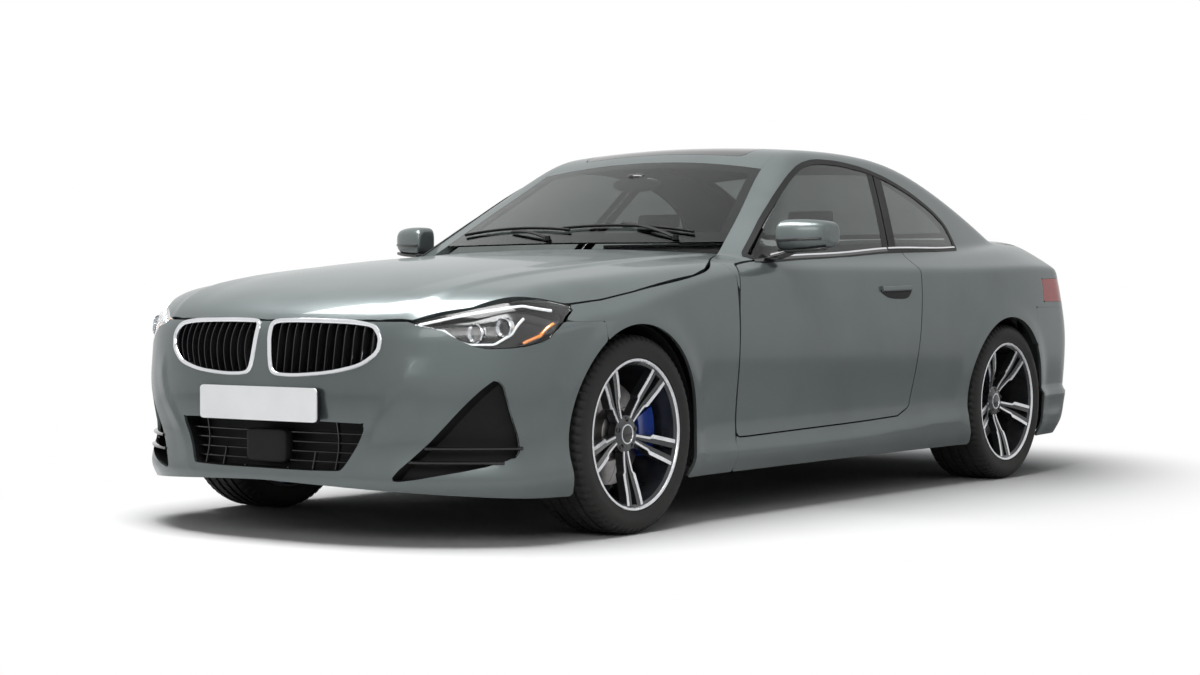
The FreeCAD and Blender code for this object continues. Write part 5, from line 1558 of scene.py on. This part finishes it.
class COUPE_OT_wheels(CoupeOperator, bpy.types.Operator):
    """Tyres with tread, five-pair spoked wheels, caps, bolts and brake discs"""

    bl_idname = "coupe.wheels"
    bl_label = "Wheels"

    def execute(self, context):
        tread = context.scene.coupe.tread * MODEL_MM
        for axle, (station, x, width) in WHEELS.items():
            dark, bright, bolts = rim_shells(width)
            tyre = tyre_shell(width, tread)
            parts = (("tyre", tyre, "rubber", "tyre"), ("rim_dark", dark, "pocket", "rim"),
                     ("rim_face", bright, "machined"), ("wheel_bolts", bolts, "steel"),
                     ("wheel_cap", cap_shell(), "gloss"), ("disc", disc_shell(), "iron", "disc"),
                     ("disc_slots", disc_slots(), "steel"))
            for name, side in (("left", 1), ("right", -1)):
                corner = f"{axle}_{name}"
                for label, shell, look, *nodes in parts:
                    make(f"{label}_piece_{corner}", at_wheel(shell, side, x, station), look,
                         f"wheel_{corner}", *[f"{node}_{corner}" for node in nodes])
        return {"FINISHED"}


class COUPE_OT_front(CoupeOperator, bpy.types.Operator):
    """Twin grilles, lower grilles, corner intakes and the bare number plate"""

    bl_idname = "coupe.front"
    bl_label = "Front"

    def execute(self, context):
        frames = sweep(front_point(KIDNEY[:, 0], KIDNEY[:, 1], 8.0), ring_section(18, 22))
        make("grille_frames", mirror(frames), "chrome", "shell", "grilles")
        make("grille_slats", kidney_slats(), "gloss")
        make("grille_backs", mirror(sunk_panel(KIDNEY, 66, 6)), "satin")
        make("grille_collars", mirror(collar(KIDNEY, 2, 68)), "satin")
        make("lower_grille_back", sunk_panel(LOWER_INTAKE, 72, 8), "satin")
        make("lower_grille_collar", collar(LOWER_INTAKE, 1, 74), "satin")
        bars = [bars_between(LOWER_INTAKE, (352, 322, 292, 262), 34, limit=limit)
                for limit in ((-400, -96), (96, 400))]
        ribs = uprights_between(LOWER_INTAKE, (-290, -200, -96, 96, 200, 290), 30)
        make("lower_grille_bars", join(*bars, ribs), "gloss")
        make("sensor_cover", block_shell((-88, -822, 252), (88, -780, 360), 6), "satin")
        make("corner_intake_backs", mirror(sunk_panel(CORNER_INTAKE, 55, 8)), "satin", "shell",
             "intake_inserts")
        make("corner_intake_collars", mirror(collar(CORNER_INTAKE, 1, 58)), "satin")
        make("corner_intake_bars", mirror(bars_between(CORNER_INTAKE, (268, 312), 16, 12, 30)), "gloss")
        plate = np.array([(-260, 389), (260, 498)], float)
        make("number_plate", plate_shell(plate, -14), "plate")
        make("number_plate_holder", plate_shell(plate * (1.02, 1) + (0, -2), -6), "satin")
        return {"FINISHED"}


def plate_shell(corners, out):
    """A flat upright plate with rounded corners, out from the foremost skin at its lower or upper edge."""
    low, high = corners.min(0), corners.max(0)
    middle, half = (low + high) / 2, (high - low) / 2
    front = min(cast((0.0, 0.0, z), AHEAD)[1] for z in (low[1], high[1])) + out

    def locate(x, z):
        return np.stack([x, x * 0 + front, z], -1)

    def level(p):
        return box_room(p[..., 0] - middle[0], p[..., 2] - middle[1], *half, 12)

    return straight_panel(steps(low[0] - 2, high[0] + 2, 8), steps(low[1] - 2, high[1] + 2, 4), locate,
                          level, AHEAD, 6)


class COUPE_OT_lamps(CoupeOperator, bpy.types.Operator):
    """Headlamps with their covers, bowls, lens units and light guides, and the tail lamps"""

    bl_idname = "coupe.lamps"
    bl_label = "Lamps"

    def execute(self, context):
        make("lamp_covers", mirror(lamp_cover()), "lens", "shell", "headlamps")
        make("lamp_bowls", mirror(lamp_bowl()), "gloss")
        rings, domes = zip(*(lens_unit(x, z, 26, 30) for x, z in ((712, 672), (776, 690))))
        make("lamp_lens_rings", mirror(join(*rings)), "chrome")
        make("lamp_lenses", mirror(join(*domes)), "lens")
        guides = join(ribbon([(562, 697), (690, 732), (792, 757), (838, 742)], 9, 8, 9),
                      ribbon([(572, 686), (636, 680), (672, 650), (700, 637), (764, 637), (800, 668),
                              (812, 716)], 7, 8, 12))
        make("lamp_light_guides", mirror(guides), "glow")
        make("lamp_side_strips", mirror(ribbon([(826, 640), (858, 664), (868, 700)], 10, 8, 9)), "amber")
        make("tail_lamp_lenses", mirror(tail_lamp()), "red", "shell", "tail_lamps")
        return {"FINISHED"}


class COUPE_OT_trim(CoupeOperator, bpy.types.Operator):
    """Window frames, belt strips, door mirrors and door handles"""

    bl_idname = "coupe.trim"
    bl_label = "Trim"

    def execute(self, context):
        make("window_frames", mirror(window_trim()), "satin")
        flap, handle_shade = handle_parts()
        cap, lower, glass = mirror_parts()
        make_pairs(("belt_strip", belt_strip(835, 1900, -3, 13, 3.0), "gloss"),
                   ("belt_bright_strip", belt_strip(1080, 1900, 4, 7, 4.0), "chrome"),
                   # The handle's dark sheet is painted shade of its recess
                   ("door_handle", flap, "paint"), ("door_handle_dish", handle_shade, "satin"),
                   ("mirror_cap", cap, "paint", "mirror"), ("mirror_lower", lower, "gloss"),
                   ("mirror_glass", glass, "chrome"))
        make("quarter_bright_strips", mirror(belt_strip(1915, 2595, 4, 7, 4.0)), "chrome")
        return {"FINISHED"}


class COUPE_OT_cabin(CoupeOperator, bpy.types.Operator):
    """Seats, dashboard, steering wheel, console, door trims and linings"""

    bl_idname = "coupe.cabin"
    bl_label = "Cabin"

    def execute(self, context):
        pads, posts, base = front_seat()
        make("front_seat_pads", mirror(pads), "leather", "shell", "front_seats")
        make("headrest_posts", mirror(posts), "chrome")
        make("front_seat_bases", mirror(base), "satin")
        pads, under = rear_seats()
        make("rear_seat_pads", pads, "leather", "shell", "rear_bench")
        make("rear_seat_base", under, "carpet")
        make("dashboard_pad", dash_shell(), "soft", "shell", "dashboard")
        screen, strip, vents = dash_details()
        make("dash_screen", screen, "gloss")
        make("dash_trim_strip", strip, "machined")
        make("dash_vents", vents, "satin")
        rim, hub, spokes, column = steering_parts()
        make("steering_wheel_rim", join(rim, hub), "leather", "shell", "steering_wheel")
        make("steering_wheel_spokes", join(spokes, column), "satin")
        box, top, selector, rest = console_parts()
        make("console_body", box, "soft", "shell", "centre_console")
        make("console_top", join(top, selector), "gloss")
        make("console_armrest", rest, "leather")
        rest, pulls = door_details()
        make_pairs(("door_trim", door_trim(), "soft"), ("door_armrest", rest, "leather"),
                   ("door_pulls", pulls, "machined"))
        make("side_linings", mirror(side_lining()), "soft")
        make("roof_lining", headliner(), "soft")
        inner = join(block_shell((-118, 1262, 1196), (118, 1284, 1254), 12),
                     block_shell((-46, 1246, 1240), (46, 1330, 1272), 14))
        make("inner_mirror", inner, "gloss")
        return {"FINISHED"}


class COUPE_OT_details(CoupeOperator, bpy.types.Operator):
    """Screen bands, cowl, wipers, tail pieces and the finishes of the CAD pieces that stay in view"""

    bl_idname = "coupe.details"
    bl_label = "Details"

    def execute(self, context):
        screen = glass_band(WINDSCREEN, screen_foot, straight_edge(SCREEN_TOP), 70, 40)
        make("windscreen_band", screen, "gloss")
        window = glass_band(REAR_WINDOW, straight_edge(ROOF_END), window_foot, 40, 50)
        make("rear_window_band", window, "gloss")
        make("cowl_panel", cowl(), "satin")
        wipers = join(wiper((470, 850), (180, 905), (520, 900), (-60, 868)),
                      wiper((-90, 800), (-330, 880), (-20, 852), (-600, 930)))
        make("wipers", wipers, "satin")
        insert, reflectors, pipes = rear_details()
        make("rear_bumper_insert", insert, "satin")
        make("rear_reflectors", reflectors, "red")
        make("exhaust_tips", pipes, "chrome")
        for name, key in CAD_FINISHES.items():
            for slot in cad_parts[name].material_slots:
                slot.material = FINISH[key]
        return {"FINISHED"}


def seen_ray(tree):
    """One for the rays that show the background: from the camera, off metal and paint, and through glass."""
    path = add(tree, "LightPath")
    either = worked(tree, "MAXIMUM", path.outputs["Is Camera Ray"], path.outputs["Is Transmission Ray"])
    return worked(tree, "MAXIMUM", either, path.outputs["Is Glossy Ray"])


def floor_finish(color):
    """Grey floor round the car, a painted shadow on top of the lamps' real shadow on it. It fades to plain
    white away from the car, and further out where it is mirrored, so its grey paints shade into the
    reflections on the lower body.
    """
    floor = bpy.data.materials.new("pale_floor")
    floor.use_nodes = True
    tree = floor.node_tree
    surface = tree.nodes["Principled BSDF"]
    for name, value in (("Base Color", (*color, 1.0)), ("Roughness", 0.9), ("Specular IOR Level", 0.0)):
        surface.inputs[name].default_value = value
    where = add(tree, "TexCoord").outputs["Object"]
    shrunk = add(tree, "VectorMath", operation="MULTIPLY", at0=where, at1=SHADOW_PATCH_SCALE)
    away = add(tree, "VectorMath", operation="LENGTH", at0=shrunk.outputs[0]).outputs["Value"]
    mirrored = add(tree, "LightPath").outputs["Is Glossy Ray"]
    # Reflections see the grey patch further out: painted shade on the car's lower body
    away = worked(tree, "MULTIPLY", away, mapped(tree, mirrored, 0.0, 1.0, 1.0, SHADOW_PATCH_MIRRORED_SHARE))
    fade = mapped(tree, away, *SHADOW_PATCH_FADE, 0.0, 1.0, interpolation_type="SMOOTHSTEP")
    share = worked(tree, "MULTIPLY", fade, seen_ray(tree))
    plain = add(tree, "Emission", Color=WHITE, Strength=1.0)
    mixed = add(tree, "MixShader", at0=share, at1=surface.outputs[0], at2=plain.outputs[0])
    tree.links.new(mixed.outputs[0], tree.nodes["Material Output"].inputs["Surface"])
    return floor


def stage_floor(color):
    """The studio's floor, which is no part of the car."""
    mesh = bpy.data.meshes.new("studio_floor")
    r = 60.0
    mesh.from_pydata([(-r, -r, 0), (r, -r, 0), (r, r, 0), (-r, r, 0)], [], [(0, 1, 2, 3)])
    mesh.materials.append(floor_finish(color))
    plane = bpy.data.objects.new("studio_floor", mesh)
    bpy.context.scene.collection.objects.link(plane)


def stage_world():
    """White background for the rays that show it, and a dim sky for the light it gives."""
    world = bpy.data.worlds.new("studio")
    world.use_nodes = True
    tree = world.node_tree
    tree.nodes.clear()
    seen = seen_ray(tree)
    dim = add(tree, "Background", Color=(0.80, 0.82, 0.84, 1.0), Strength=0.36)
    white = add(tree, "Background", Color=WHITE, Strength=1.0)
    blend = add(tree, "MixShader", at0=seen, at1=dim.outputs[0], at2=white.outputs[0])
    add(tree, "OutputWorld", Surface=blend.outputs[0])
    bpy.context.scene.world = world


def aimed(name, data, at, way):
    """A lamp or camera at a place of the scene, looking along a direction."""
    thing = bpy.data.objects.new(name, data)
    thing.location = at
    thing.rotation_euler = way.to_track_quat("-Z", "Y").to_euler()
    bpy.context.scene.collection.objects.link(thing)
    return thing


def stage_lamps():
    """Soft rectangular lamps: name, place, aim, width, height and watts."""
    for name, at, aim, wide, high, power in (
            ("overhead", (-0.3, -1.9, 4.6), (0, -0.6, 0.6), 5.0, 2.4, 560),
            ("front_fill", (3.5, -6.5, 3.2), (0, -1.0, 0.5), 4.0, 2.0, 95),
            ("side_fill", (6.5, 1.5, 2.6), (0, 0.4, 0.5), 5.0, 1.6, 12)):
        data = bpy.data.lights.new(name, "AREA")
        data.shape = "RECTANGLE"
        data.size, data.size_y, data.energy = wide, high, power
        aimed(name, data, at, Vector(aim) - Vector(at))


def stage_camera():
    """The camera at the photograph's place and angle."""
    view = bpy.data.cameras.new("photo_view")
    view.sensor_width = 36.0
    view.lens = 67.02
    turn, tilt = math.radians(36.07), math.radians(1.21)
    way = Vector((-math.sin(turn) * math.cos(tilt), math.cos(turn) * math.cos(tilt), -math.sin(tilt)))
    bpy.context.scene.camera = aimed("photo_view", view, (5.129, -7.4455, 0.807), way)


class COUPE_OT_stage(CoupeOperator, bpy.types.Operator):
    """Pale floor with a grey patch round the car as painted shadow, soft lights and the camera at the
    photograph's angle
    """

    bl_idname = "coupe.stage"
    bl_label = "Stage"

    def execute(self, context):
        stage_floor(context.scene.coupe.floor)
        stage_world()
        stage_lamps()
        stage_camera()
        context.scene.view_settings.view_transform = "Standard"
        return {"FINISHED"}


OPERATORS = [COUPE_OT_panels, COUPE_OT_glass, COUPE_OT_wheels, COUPE_OT_front, COUPE_OT_lamps, COUPE_OT_trim,
             COUPE_OT_cabin, COUPE_OT_details, COUPE_OT_stage]


class COUPE_PT_parts(bpy.types.Panel):
    """The coupe's settings and pieces in the sidebar"""

    bl_label = "Coupe"
    bl_idname = "COUPE_PT_parts"
    bl_space_type = "VIEW_3D"
    bl_region_type = "UI"
    bl_category = "Coupe"

    def draw(self, context):
        for name in ("paint", "tread", "floor"):
            self.layout.prop(context.scene.coupe, name)
        for operator in OPERATORS:
            self.layout.operator(operator.bl_idname)


CLASSES = [CoupeSettings, *OPERATORS, COUPE_PT_parts]


def register():
    """Adds the settings, the operators and the panel."""
    for item in CLASSES:
        bpy.utils.register_class(item)
    bpy.types.Scene.coupe = bpy.props.PointerProperty(type=CoupeSettings)


def unregister():
    """Takes them away again."""
    del bpy.types.Scene.coupe
    for item in reversed(CLASSES):
        bpy.utils.unregister_class(item)


def main():
    """Builds the coupe with its settings as they are."""
    register()
    make_finishes(tuple(bpy.context.scene.coupe.paint))
    for operator in OPERATORS:
        getattr(bpy.ops.coupe, operator.bl_idname.split(".")[1])()


if __name__ == "__main__":
    main()
